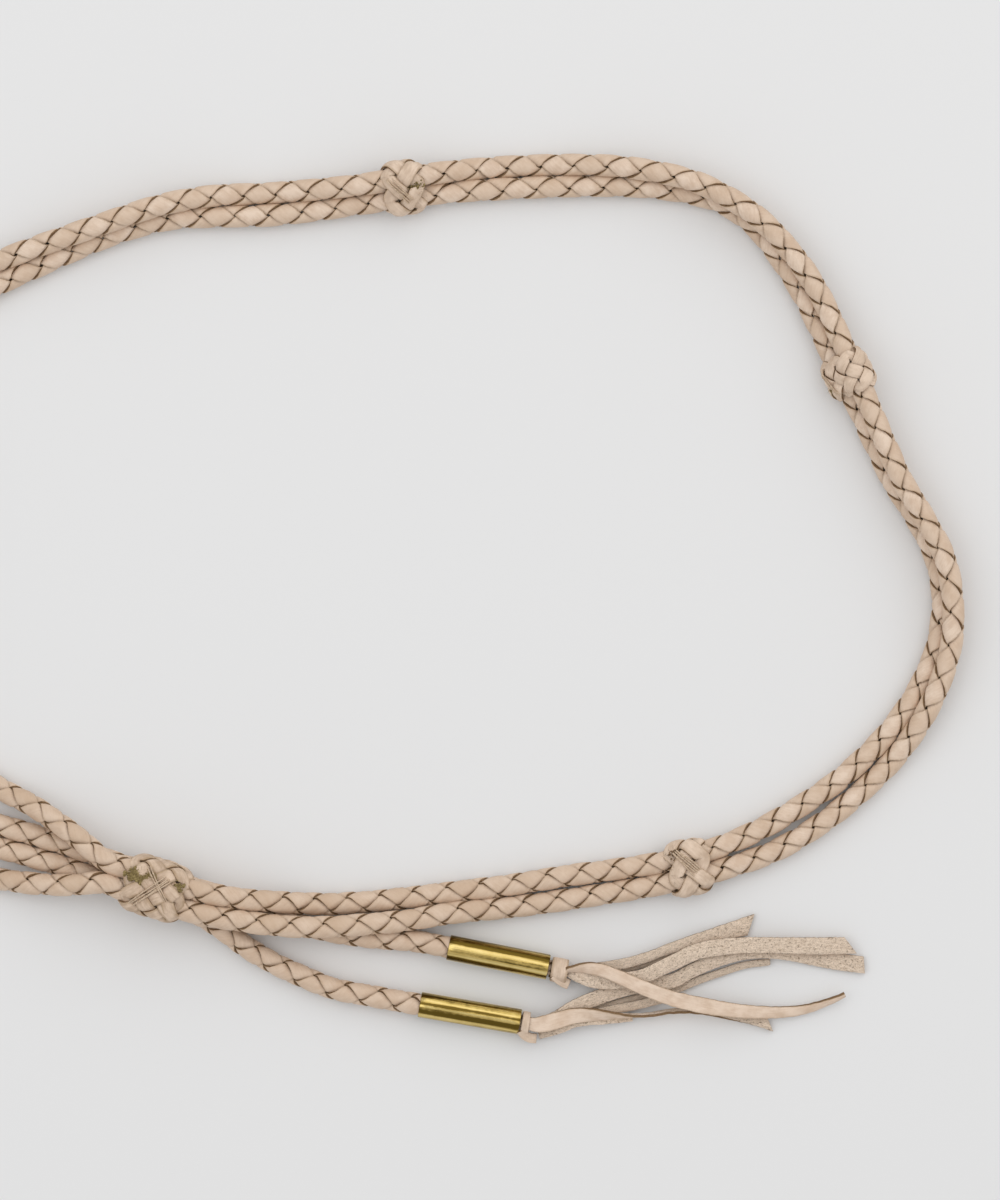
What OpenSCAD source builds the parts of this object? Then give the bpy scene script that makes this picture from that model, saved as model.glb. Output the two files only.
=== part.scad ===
// Sliding-knot belt of doubled, four-strand round-braided leather cord.
// Two cords run side by side round the waist. Short woven knots keep them together,
// and one long woven knot slides on all four runs and closes the loop. Each cord has
// two free tails, and each tail ends in a brass tube, a tie and four loose strands.
// Units are millimetres. The belt lies on the plane z = 0.

/* [Cord] */
// Diameter of one braided cord, measured over its mean surface
cord_d = 5.2; // [4.8:0.1:5.2]
// Spacing of the two cords of the pair, centre to centre, where they touch
pair_pitch = 5.4; // [5.4:0.1:5.8]
// Height of a cord's centre where it lies on the surface
lie_z = 2.8; // [2.7:0.1:3.2]

/* [Keeper knots] */
// Length of a keeper knot along the cords
keeper_l = 11; // [8:0.5:13]
// Thickness of the woven lace round the cords
keeper_wall = 1.6; // [1.2:0.1:2]

/* [Sliding knot] */
// Length of the sliding knot along the cords
slider_l = 19; // [14:0.5:20]
// Thickness of the woven lace at its middle
slider_wall = 1.8; // [1.4:0.1:2]
// Running clearance between the cords and the sliding knot
slider_play = 0.3; // [0.2:0.05:0.4]

/* [Brass tubes] */
// Length of a brass tube
tube_l = 25.4; // [20:0.1:27]
// Outer diameter of a brass tube
tube_od = 6.35; // [6.25:0.05:6.8]
// Bore of a brass tube
tube_id = 5.7; // [5.6:0.05:5.9]

/* [Ties and strands] */
// Length of the tie below a tube
tie_l = 4.8; // [4:0.1:6]
// Width of a loose strand
strand_w = 4.4; // [3:0.1:5.5]
// Thickness of a loose strand
strand_t = 1.2; // [0.8:0.1:1.3]
// Diameter of the waxed thread
thread_d = 0.6; // [0.4:0.1:0.8]

/* [Hidden] */

leather = [0.85, 0.74, 0.66];
suede = [0.79, 0.72, 0.65];
brass = [0.71, 0.61, 0.35];
thread = [0.60, 0.52, 0.42];

// The routes are laid out round the middle of the right-hand half. This brings the
// middle of the whole belt to the origin.
lay_shift = [70.1, -0.9, 0];

cord_r = cord_d / 2;
cord_sides = 8;

// The pair, anticlockwise from just right of the sliding knot: x, y, the spacing of
// the two cords in plan, and how far a keeper knot lifts them. Where the spacing is
// under pair_pitch, the outer cord climbs onto the inner one.
loop = [
    [-12.5, -75.5, 5.0, 0], [1.5, -74, 5.4, 0], [15, -72, 5.8, 0], [27.5, -70.2, 5.6, 0],
    [37.5, -68.6, 5.4, 0.6], [47, -66.6, 5.4, 1.4], [56, -64, 5.6, 0.6], [66, -60.2, 6.4, 0],
    [76, -54.6, 6.6, 0], [87, -46.6, 5.8, 0], [96, -38, 5.5, 0], [102.5, -29.5, 4.8, 0],
    [107.8, -19.5, 3.8, 0], [110.8, -10, 3.0, 0], [111.4, 0, 2.0, 0], [109.5, 10.5, 1.8, 0],
    [104.5, 20.5, 1.4, 0], [99, 29.5, 1.8, 0], [95, 38, 2.0, 0], [91, 47, 2.4, 0.6],
    [86.6, 56.2, 3.0, 1.4], [82.5, 65.5, 3.4, 0.6], [77.5, 76, 3.4, 0], [71, 86, 2.8, 0],
    [64.5, 93.5, 1.8, 0], [57, 99, 1.4, 0], [47.5, 102.8, 2.8, 0], [36, 105, 4.0, 0],
    [24, 105.8, 5.0, 0], [10, 105.7, 5.4, 0], [-3.5, 105, 5.4, 0], [-14, 104, 4.9, 0.6],
    [-24, 102.6, 4.7, 1.4], [-34, 101.1, 4.4, 0.6], [-45, 99.8, 5.0, 0], [-57.5, 98.7, 5.5, 0],
    [-70, 98.2, 5.2, 0], [-82.5, 96.8, 3.6, 0], [-94.5, 93.4, 3.0, 0], [-106.5, 89, 3.4, 0],
    [-118.5, 84.3, 4.6, 0], [-131, 79, 5.4, 0.3], [-145, 72.2, 5.4, 1.4], [-158, 64, 5.4, 0.3],
    [-173, 51.5, 5.4, 0], [-186, 36.5, 5.4, 0], [-195.5, 20.5, 5.4, 0.3], [-199, 3, 5.4, 1.4],
    [-196.5, -14, 5.4, 0.3], [-187.5, -30, 5.4, 0], [-173, -42.5, 5.4, 0], [-157, -49.5, 5.4, 0],
    [-141, -54.2, 5.4, 0]
];
// The places in the list above that sit in a keeper knot
keeper_at = [5, 20, 32, 42, 47];

// The sliding knot: its middle, its heading in plan, and how far it may slide
slider_mid = [-87.25, -71];
slider_turn = -18;
slider_travel = 2;
slider_bore = cord_r + slider_play;
slider_z = slider_wall + slider_bore + pair_pitch / 2;
slider_straight = slider_l / 2 + slider_travel;

// Four runs go through the sliding knot in two layers. The right-hand pair is the top
// layer and goes on as the left-hand tails; the left-hand pair is the bottom layer and
// goes on as the right-hand tails. Each list starts at the knot.
top_right_inner = [
    [-68.8, -73.4, 9.8], [-62.5, -74.4, 8.3], [-56.3, -75, 6.7], [-50, -75.5, 4.4],
    [-42.5, -75.8, 3.1], [-33.5, -75.3, 2.8], [-24, -74.4, 2.8]
];
top_right_outer = [
    [-68.8, -78.8, 9.9], [-62.5, -79.9, 9.2], [-56.3, -80.7, 8.6], [-50, -81.2, 8.3],
    [-42.5, -81.2, 8.2], [-33.5, -80.6, 7.3], [-24, -79.8, 5.6]
];
bottom_left_inner = [[-105.5, -61.8, 3.8], [-115, -58.9, 3], [-126, -55.8, 2.8]];
bottom_left_outer = [[-105.5, -67.5, 3.8], [-115, -64.6, 3], [-126, -61.4, 2.8]];
tail_right_inner = [
    [-68.8, -74.3, 4.1], [-62.5, -76.6, 3.1], [-56.3, -79, 2.8], [-50, -81, 2.8],
    [-42.5, -82.6, 2.8], [-33.5, -84, 2.9]
];
tail_right_outer = [
    [-69.5, -81.8, 4.0], [-62.5, -87, 3], [-56, -90.8, 2.8], [-49, -94, 2.8],
    [-41.5, -96.9, 2.9]
];
tail_left_inner = [[-105, -58.8, 9], [-115, -52, 5.4], [-124.5, -47, 2.9], [-133, -41.6, 2.8]];
tail_left_outer = [[-105, -70.6, 9], [-115, -70.6, 5.8], [-125, -69.6, 3], [-136, -68.4, 2.8]];

// The tails in order: right inner, right outer, left inner, left outer. Each has the
// middle of its tube at rest, the tube's heading, and how far up the cord it slides.
tails = ["right_inner", "right_outer", "left_inner", "left_outer"];
tube_mid = [[-0.4, -89.07], [-7.5, -103], [-148, -11.5], [-171.9, -64.8]];
tube_turn = [-11.2, -9.8, 110, 174.5];
tube_travel = [6, 10, 12, 12];
tube_r = tube_od / 2;
tie_gap = 0.3;
tie_r = 3;
cord_in_tie = 2;

// The loose strands of each tail: x, y, z and roll of their middle line
strands = [
    [
        [[16.6, -92.6, 1.2, 0], [24, -93.4, 0.8, 0], [31.6, -92.1, 0.7, 0], [40.5, -89, 0.7, 0],
            [45.3, -87, 0.7, 0], [51, -85, 0.7, 0]],
        [[16.6, -92.4, 2.5, 0], [24, -91.8, 2.3, 0], [31.6, -90.6, 2.2, 0], [37.3, -88.9, 2.2, 0],
            [42.1, -87.1, 2.2, 0], [46.9, -85.6, 2.2, 0], [52, -84.2, 1.8, 0], [57, -82.8, 1, 0],
            [62.7, -81.1, 0.7, 0]],
        [[16.6, -92.4, 3.8, 0], [23, -94.6, 3.8, 0], [28, -95, 3.8, 0], [32, -94.6, 3.8, 0],
            [36, -93.7, 3.8, 0], [39.2, -92.2, 3.8, 0], [43.7, -90.1, 3.8, 0], [48.5, -87.8, 3.8, 0],
            [54, -86.6, 3.8, 0], [62, -86, 3.8, 0], [70, -86.1, 3.4, 0], [79, -86.3, 2.6, 0],
            [87.5, -86.2, 2, 0]],
        [[16.6, -92.2, 5.1, 0], [21, -91.6, 5.2, 0], [25, -92.1, 5.3, 0], [29.3, -93.7, 5.5, 0],
            [35.7, -96.5, 5.7, 0], [42.1, -98.9, 5.7, 0], [48.5, -100.5, 5.6, 0], [54.9, -101.7, 5.2, 0],
            [60, -102.4, 4.4, 0], [65, -102.8, 3.2, 3], [69, -102.9, 2.4, 8], [73.8, -102.6, 1.9, 15],
            [77.5, -101.9, 1.9, 27], [80.7, -100.8, 2.2, 40], [83.5, -99.7, 2.5, 52],
            [86, -98.4, 2.8, 65]]
    ],
    [
        [[9.6, -105.9, 1.2, 0], [15, -105.6, 0.8, 0], [21, -103.6, 0.7, 0], [28, -101.3, 0.7, 0],
            [34, -99.6, 0.7, 0], [40, -98.2, 0.7, 0], [45.3, -96.7, 0.7, 0], [50.1, -94.8, 0.7, 0],
            [54.9, -93.2, 0.7, 0], [60.9, -91.3, 0.7, 0], [67.5, -90.4, 0.7, 0]],
        [[9.6, -106, 2.5, 0], [15, -105.3, 2.3, 0], [22, -103.6, 2.1, 0], [29.3, -102, 2.1, 0],
            [34.1, -101.1, 2.1, 0], [41, -99.4, 2.1, 0]],
        [[9.6, -105.9, 3.8, 0], [14, -104.3, 3.75, 0], [18, -101.9, 3.5, 0], [21.4, -100.3, 3, 0],
            [24.6, -99.1, 2.6, 0], [27.8, -98, 2.3, 0], [32, -96.8, 2.2, 0], [38, -95.9, 2.2, 0],
            [43.7, -94.8, 2.2, 0], [46.9, -93, 2.2, 0], [51.7, -90.8, 2.2, 0], [56.5, -89, 2.2, 0],
            [61, -87.9, 2.2, 0], [66, -87.6, 2.1, 0], [72, -88.2, 1.4, 0], [78, -89.3, 0.8, 0],
            [84, -90.3, 0.7, 0], [91, -91.2, 0.7, 0]],
        [[9.6, -105.7, 5.1, 0], [14, -104.7, 5.3, 0], [18, -103.6, 5.1, 10], [22, -103.3, 4.7, 30],
            [26.2, -103.4, 4.5, 55], [30, -103.6, 3.4, 75], [34, -103.6, 2.8, 88], [38, -103.3, 2.7, 92],
            [42.1, -102.6, 2.7, 95], [46, -102.3, 2.7, 102], [50, -102.3, 2.6, 112],
            [54, -102.6, 2.3, 130], [58, -103.2, 1.9, 150], [62.5, -104.1, 1.3, 168],
            [67.2, -105.5, 0.8, 176]]
    ],
    [
        [[-153.9, 4.8, 1.2, 0], [-159, 19, 0.8, 0], [-159, 37, 0.7, 0], [-152, 54, 0.7, 0]],
        [[-153.9, 4.8, 2.5, 0], [-155.5, 22, 2.2, 0], [-150.5, 40, 1, 0], [-142, 60, 0.7, 0]],
        [[-153.8, 4.8, 3.8, 0], [-151, 22, 3.6, 0], [-143, 40, 1.6, 0], [-134, 57, 0.7, 0]],
        [[-153.7, 4.8, 5.1, 0], [-148, 20, 5, 0], [-138, 32, 3.6, 0], [-131, 46, 0.7, 0]]
    ],
    [
        [[-189.1, -63.2, 1.2, 0], [-207, -67, 0.8, 0], [-225, -71, 0.7, 0], [-243, -72, 0.7, 0]],
        [[-189.1, -63.1, 2.5, 0], [-208, -63.2, 2.2, 0], [-228, -64.2, 1.2, 0], [-250, -66, 0.7, 0]],
        [[-189.1, -63.1, 3.8, 0], [-208, -60.2, 3.7, 0], [-229, -57, 2, 0], [-255, -57.4, 0.7, 0]],
        [[-189.1, -63, 5.1, 0], [-206, -58.5, 5, 0], [-222, -51, 3.7, 0], [-240, -46.5, 0.7, 0]]
    ]
];
// How much of the full strand width each one takes up: some are cut narrower than others
strand_share = [[0.5, 0.75, 1, 1], [0.45, 0.55, 0.96, 0.96], [1, 1, 1, 1], [1, 1, 1, 1]];

// Plan direction of a heading, and the direction to its left
function along(turn) = [cos(turn), sin(turn)];
function leftward(turn) = [-sin(turn), cos(turn)];
function unit(v) = v / norm(v);

// Points on a straight run: through the sliding knot, or up to a tie
function slider_point(step, side, layer) =
    let (p = slider_mid + step * along(slider_turn) + side * pair_pitch / 2 * leftward(slider_turn))
    [p.x, p.y, slider_z + layer * pair_pitch / 2];
function tube_point(k, step) =
    let (p = tube_mid[k] + step * along(tube_turn[k]))
    [p.x, p.y, tube_r];

// Direction along a list of points at its place i
function heading(points, i) =
    unit(points[min(i + 1, len(points) - 1)] - points[max(i - 1, 0)]);

// One cord of the pair, side = -1 for the inner and 1 for the outer
function pair_rise(spacing) = sqrt(max(0, pair_pitch ^ 2 - spacing ^ 2));
plan = [for (p = loop) [p.x, p.y]];
function lane_point(i, side) =
    let (
        t = heading(plan, i),
        spacing = loop[i][2],
        at = plan[i] + side * spacing / 2 * [t.y, -t.x],
        rise = side > 0 ? pair_rise(spacing) : 0
    )
    [at.x, at.y, lie_z + loop[i][3] + rise];
function lane(side) = [for (i = [0:len(loop) - 1]) lane_point(i, side)];
function reversed(list) = [for (i = [len(list) - 1:-1:0]) list[i]];

// The last straight stretch of tail k, from where its tube may slide to, into its tie
function tail_end(k) = [
    tube_point(k, -tube_l / 2 - tube_travel[k] - 1),
    tube_point(k, tube_l / 2 + tie_gap + cord_in_tie)
];
// One whole cord from its left-hand tail to its right-hand tail: it goes right through
// the top layer, round the loop, and right again through the bottom layer.
function cord_route(side, left_tail, right_run, left_run, right_tail, k_left, k_right) =
    concat(
        reversed(tail_end(k_left)),
        reversed(left_tail),
        [slider_point(-slider_straight, -side, 1), slider_point(slider_straight, -side, 1)],
        right_run,
        lane(side),
        reversed(left_run),
        [slider_point(-slider_straight, -side, -1), slider_point(slider_straight, -side, -1)],
        right_tail,
        tail_end(k_right)
    );

// Sweeps a flat outline of [across, up] corners along points. roll turns it at each point.
function ring(points, i, outline, roll) =
    let (
        t = heading(points, i),
        side = unit(cross([0, 0, 1], t)),
        up = cross(t, side)
    )
    [for (c = outline)
        let (a = c.x * cos(roll) - c.y * sin(roll), b = c.x * sin(roll) + c.y * cos(roll))
        points[i] + a * side + b * up];
module sweep(points, outline, rolls) {
    count = len(outline);
    last = len(points) - 1;
    corners = [for (i = [0:last]) each ring(points, i, outline, rolls[i])];
    walls = [for (i = [0:last - 1], j = [0:count - 1])
        [i * count + j, (i + 1) * count + j,
            (i + 1) * count + (j + 1) % count, i * count + (j + 1) % count]];
    start = [for (j = [0:count - 1]) j];
    end = [for (j = [count - 1:-1:0]) last * count + j];
    polyhedron(points = corners, faces = concat(walls, [start, end]), convexity = 10);
}
module cord(points) {
    step = 360 / cord_sides;
    outline = [for (j = [0:cord_sides - 1]) cord_r * [cos((j + 0.5) * step), sin((j + 0.5) * step)]];
    color(leather) translate(lay_shift) sweep(points, outline, [for (p = points) 0]);
}
module inner_cord() {
    cord(cord_route(-1, tail_left_inner, top_right_inner, bottom_left_inner, tail_right_inner, 2, 0));
}
module outer_cord() {
    cord(cord_route(1, tail_left_outer, top_right_outer, bottom_left_outer, tail_right_outer, 3, 1));
}

// A woven band round one run: a barrel along X with rounded ends
module barrel(radius, length, shoulder) {
    rotate([0, 90, 0]) rotate_extrude($fn = 32)
        polygon([
            [0, -length / 2],
            [radius - 2 * shoulder, -length / 2],
            [radius - 0.6 * shoulder, -length / 2 + 0.6 * shoulder],
            [radius, -length / 2 + 2 * shoulder], [radius, length / 2 - 2 * shoulder],
            [radius - 0.6 * shoulder, length / 2 - 0.6 * shoulder],
            [radius - 2 * shoulder, length / 2],
            [0, length / 2]
        ]);
}

// Places children in a keeper knot's frame: X along the cords, Y towards the inner cord
module at_keeper(k) {
    i = keeper_at[k];
    inner = lane_point(i, -1);
    outer = lane_point(i, 1);
    t = heading(plan, i);
    roll = asin((inner.z - outer.z) / norm(outer - inner));
    translate(lay_shift + (inner + outer) / 2) rotate(atan2(t.y, t.x)) rotate([roll, 0, 0]) children();
}
module keeper_knot(k) {
    half = norm(lane_point(keeper_at[k], 1) - lane_point(keeper_at[k], -1)) / 2;
    color(leather) at_keeper(k) difference() {
        hull() for (side = [-1, 1]) translate([0, side * half, 0])
            barrel(cord_r + keeper_wall, keeper_l, 0.8);
        for (side = [-1, 1]) translate([0, side * half, 0])
            rotate([0, 90, 0]) cylinder(r = cord_r, h = keeper_l + 2, center = true, $fn = 32);
    }
}
// Three threads sewn slantwise over the top of a keeper knot
module keeper_stitch(k) {
    half = pair_pitch / 2;
    reach = cord_r + keeper_wall;
    color(thread) at_keeper(k) translate([0, -half, 0]) for (row = [-1:1])
        translate([row * 1.1 * thread_d, 0, 0]) rotate([0, 0, 20]) rotate([90, 0, 90])
            rotate([0, 0, 70]) rotate_extrude(angle = 80, $fn = 32)
                translate([reach, 0]) circle(d = thread_d, $fn = 16);
}

// Places children in the sliding knot's frame: X along the cords, origin at its middle
module at_slider() {
    translate(lay_shift + [slider_mid.x, slider_mid.y, slider_z]) rotate(slider_turn) children();
}
module slider_bore_shape() {
    half = pair_pitch / 2;
    through = slider_l + 2;
    cube([through, pair_pitch, pair_pitch + 2 * slider_bore], center = true);
    cube([through, pair_pitch + 2 * slider_bore, pair_pitch], center = true);
    for (side = [-1, 1], layer = [-1, 1]) translate([0, side * half, layer * half])
        rotate([0, 90, 0]) cylinder(r = slider_bore, h = through, center = true, $fn = 32);
}
module sliding_knot() {
    half = pair_pitch / 2;
    color(leather) at_slider() difference() {
        hull() for (side = [-1, 1], layer = [-1, 1]) translate([0, side * half, layer * half])
            barrel(slider_bore + slider_wall, slider_l, 0.7);
        slider_bore_shape();
    }
}
// Two bundles of three threads, crossed over the top of the sliding knot
module sliding_knot_stitch() {
    top = pair_pitch / 2 + slider_bore + slider_wall;
    color(thread) at_slider() for (lean = [-42, 34]) rotate(lean) for (row = [-1:1])
        translate([0, row * 1.1 * thread_d, top]) rotate([0, 90, 0])
            cylinder(d = thread_d, h = lean > 0 ? 9 : 7, center = true, $fn = 16);
}

// Places children on tail k: X along the tail, origin at the middle of its tube
module at_tail(k) {
    translate(lay_shift + tube_point(k, 0)) rotate(tube_turn[k]) children();
}
module brass_tube(k) {
    color(brass) at_tail(k) rotate([0, 90, 0]) rotate_extrude($fn = 64)
        translate([tube_id / 2, -tube_l / 2]) square([(tube_od - tube_id) / 2, tube_l]);
}
// The tie is one strand hitched round the others, so it is a rounded ring
module tie(k) {
    bevel = 0.3;
    color(leather) at_tail(k) translate([tube_l / 2 + tie_gap, 0, 0]) rotate([0, 90, 0])
        rotate_extrude($fn = 48) polygon([
            [cord_r, 0], [tie_r - bevel, 0], [tie_r, bevel], [tie_r, tie_l - bevel],
            [tie_r - bevel, tie_l], [cord_r, tie_l]
        ]);
}
module strand(k, n) {
    route = strands[k][n];
    corner = [strand_share[k][n] * strand_w / 2, strand_t / 2];
    outline = [corner, [-corner.x, corner.y], -corner, [corner.x, -corner.y]];
    color(n % 2 == 0 ? suede : leather) translate(lay_shift)
        sweep([for (p = route) [p.x, p.y, p.z]], outline, [for (p = route) p[3]]);
}

inner_cord();
outer_cord();
for (k = [0:len(keeper_at) - 1]) {
    keeper_knot(k);
    keeper_stitch(k);
}
sliding_knot();
sliding_knot_stitch();
for (k = [0:len(tails) - 1]) {
    brass_tube(k);
    tie(k);
    for (n = [0:len(strands[k]) - 1])
        strand(k, n);
}
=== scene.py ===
# The looks of a sliding-knot belt of braided leather cord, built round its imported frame.
# Sizes are in metres, in the frame's own axes. The attributes that the materials read are in millimetres.
import math

import bpy
import numpy as np
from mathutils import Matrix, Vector


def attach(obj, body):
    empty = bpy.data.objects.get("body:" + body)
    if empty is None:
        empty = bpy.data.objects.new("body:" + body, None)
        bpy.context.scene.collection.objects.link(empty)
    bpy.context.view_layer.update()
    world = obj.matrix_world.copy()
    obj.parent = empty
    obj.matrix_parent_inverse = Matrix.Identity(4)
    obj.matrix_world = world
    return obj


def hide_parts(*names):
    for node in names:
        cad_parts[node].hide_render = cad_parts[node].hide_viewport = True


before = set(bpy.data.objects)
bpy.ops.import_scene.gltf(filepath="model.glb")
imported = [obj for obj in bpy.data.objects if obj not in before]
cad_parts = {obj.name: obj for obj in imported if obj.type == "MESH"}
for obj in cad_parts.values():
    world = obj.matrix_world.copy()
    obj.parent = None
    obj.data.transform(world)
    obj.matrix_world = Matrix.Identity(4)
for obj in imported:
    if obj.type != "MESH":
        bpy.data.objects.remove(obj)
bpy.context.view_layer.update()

TAU = 2 * math.pi
MM = 0.001
Z = np.array([0.0, 0.0, 1.0])

# ---- Camera, floor and light ----------------------------------------------------------------

LAY_SHIFT = np.array([0.0701, -0.0009, 0.0])
VIEW_HEIGHT = 0.300
CAMERA_HEIGHT = 1.2


def make_camera():
    data = bpy.data.cameras.new("camera")
    data.lens = data.sensor_width * CAMERA_HEIGHT / VIEW_HEIGHT
    camera = bpy.data.objects.new("camera", data)
    camera.location = (LAY_SHIFT[0], LAY_SHIFT[1], CAMERA_HEIGHT)
    bpy.context.scene.collection.objects.link(camera)
    bpy.context.scene.camera = camera


def make_lamp(name, offset, size, power, colour):
    """A square lamp at an offset from the middle of the view, aimed at it."""
    data = bpy.data.lights.new(name, "AREA")
    data.size = size
    data.energy = power
    data.color = colour
    lamp = bpy.data.objects.new(name, data)
    lamp.location = LAY_SHIFT + np.array(offset)
    away = lamp.location - Vector(LAY_SHIFT)
    lamp.rotation_mode = "QUATERNION"
    lamp.rotation_quaternion = away.to_track_quat("Z", "Y")
    bpy.context.scene.collection.objects.link(lamp)


def make_light():
    make_lamp("key_lamp", (0.50, 0.65, 1.05), 1.9, 7.5, (1.0, 0.985, 0.965))
    make_lamp("fill_lamp", (-0.7, 0.1, 1.1), 1.0, 2.5, (0.97, 0.985, 1.0))
    world = bpy.data.worlds.new("soft_room")
    world.use_nodes = True
    sky = world.node_tree.nodes["Background"]
    sky.inputs["Color"].default_value = (0.985, 0.99, 1.0, 1)
    sky.inputs["Strength"].default_value = 0.68
    bpy.context.scene.world = world
    bpy.context.scene.view_settings.view_transform = "Standard"


make_camera()
make_light()

# ---- Routes, as part.scad has them ------------------------------------------------------------

LOOP = [
    (-0.0125, -0.0755, 0.005, 0), (0.0015, -0.074, 0.0054, 0), (0.015, -0.072, 0.0058, 0),
    (0.0275, -0.0702, 0.0056, 0), (0.0375, -0.0686, 0.0054, 0.0006), (0.047, -0.0666, 0.0054, 0.0014),
    (0.056, -0.064, 0.0056, 0.0006), (0.066, -0.0602, 0.0064, 0), (0.076, -0.0546, 0.0066, 0),
    (0.087, -0.0466, 0.0058, 0), (0.096, -0.038, 0.0055, 0), (0.1025, -0.0295, 0.0048, 0),
    (0.1078, -0.0195, 0.0038, 0), (0.1108, -0.01, 0.003, 0), (0.1114, 0, 0.002, 0),
    (0.1095, 0.0105, 0.0018, 0), (0.1045, 0.0205, 0.0014, 0), (0.099, 0.0295, 0.0018, 0),
    (0.095, 0.038, 0.002, 0), (0.091, 0.047, 0.0024, 0.0006), (0.0866, 0.0562, 0.003, 0.0014),
    (0.0825, 0.0655, 0.0034, 0.0006), (0.0775, 0.076, 0.0034, 0), (0.071, 0.086, 0.0028, 0),
    (0.0645, 0.0935, 0.0018, 0), (0.057, 0.099, 0.0014, 0), (0.0475, 0.1028, 0.0028, 0),
    (0.036, 0.105, 0.004, 0), (0.024, 0.1058, 0.005, 0), (0.01, 0.1057, 0.0054, 0),
    (-0.0035, 0.105, 0.0054, 0), (-0.014, 0.104, 0.0049, 0.0006), (-0.024, 0.1026, 0.0047, 0.0014),
    (-0.034, 0.1011, 0.0044, 0.0006), (-0.045, 0.0998, 0.005, 0), (-0.0575, 0.0987, 0.0055, 0),
    (-0.07, 0.0982, 0.0052, 0), (-0.0825, 0.0968, 0.0036, 0), (-0.0945, 0.0934, 0.003, 0),
    (-0.1065, 0.089, 0.0034, 0), (-0.1185, 0.0843, 0.0046, 0), (-0.131, 0.079, 0.0054, 0.0003),
    (-0.145, 0.0722, 0.0054, 0.0014), (-0.158, 0.064, 0.0054, 0.0003), (-0.173, 0.0515, 0.0054, 0),
    (-0.186, 0.0365, 0.0054, 0), (-0.1955, 0.0205, 0.0054, 0.0003), (-0.199, 0.003, 0.0054, 0.0014),
    (-0.1965, -0.014, 0.0054, 0.0003), (-0.1875, -0.03, 0.0054, 0), (-0.173, -0.0425, 0.0054, 0),
    (-0.157, -0.0495, 0.0054, 0), (-0.141, -0.0542, 0.0054, 0),
]
TOP_RIGHT_INNER = [
    (-0.0688, -0.0734, 0.0098), (-0.0625, -0.0744, 0.0083), (-0.0563, -0.075, 0.0067),
    (-0.05, -0.0755, 0.0044), (-0.0425, -0.0758, 0.0031), (-0.0335, -0.0753, 0.0028),
    (-0.024, -0.0744, 0.0028),
]
TOP_RIGHT_OUTER = [
    (-0.0688, -0.0788, 0.0099), (-0.0625, -0.0799, 0.0092), (-0.0563, -0.0807, 0.0086),
    (-0.05, -0.0812, 0.0083), (-0.0425, -0.0812, 0.0082), (-0.0335, -0.0806, 0.0073),
    (-0.024, -0.0798, 0.0056),
]
BOTTOM_LEFT_INNER = [
    (-0.1055, -0.0618, 0.0038), (-0.115, -0.0589, 0.003), (-0.126, -0.0558, 0.0028),
]
BOTTOM_LEFT_OUTER = [
    (-0.1055, -0.0675, 0.0038), (-0.115, -0.0646, 0.003), (-0.126, -0.0614, 0.0028),
]
TAIL_RIGHT_INNER = [
    (-0.0688, -0.0743, 0.0041), (-0.0625, -0.0766, 0.0031), (-0.0563, -0.079, 0.0028),
    (-0.05, -0.081, 0.0028), (-0.0425, -0.0826, 0.0028), (-0.0335, -0.084, 0.0029),
]
TAIL_RIGHT_OUTER = [
    (-0.0695, -0.0818, 0.004), (-0.0625, -0.087, 0.003), (-0.056, -0.0908, 0.0028),
    (-0.049, -0.094, 0.0028), (-0.0415, -0.0969, 0.0029),
]
TAIL_LEFT_INNER = [
    (-0.105, -0.0588, 0.009), (-0.115, -0.052, 0.0054), (-0.1245, -0.047, 0.0029),
    (-0.133, -0.0416, 0.0028),
]
TAIL_LEFT_OUTER = [
    (-0.105, -0.0706, 0.009), (-0.115, -0.0706, 0.0058), (-0.125, -0.0696, 0.003),
    (-0.136, -0.0684, 0.0028),
]
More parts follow.
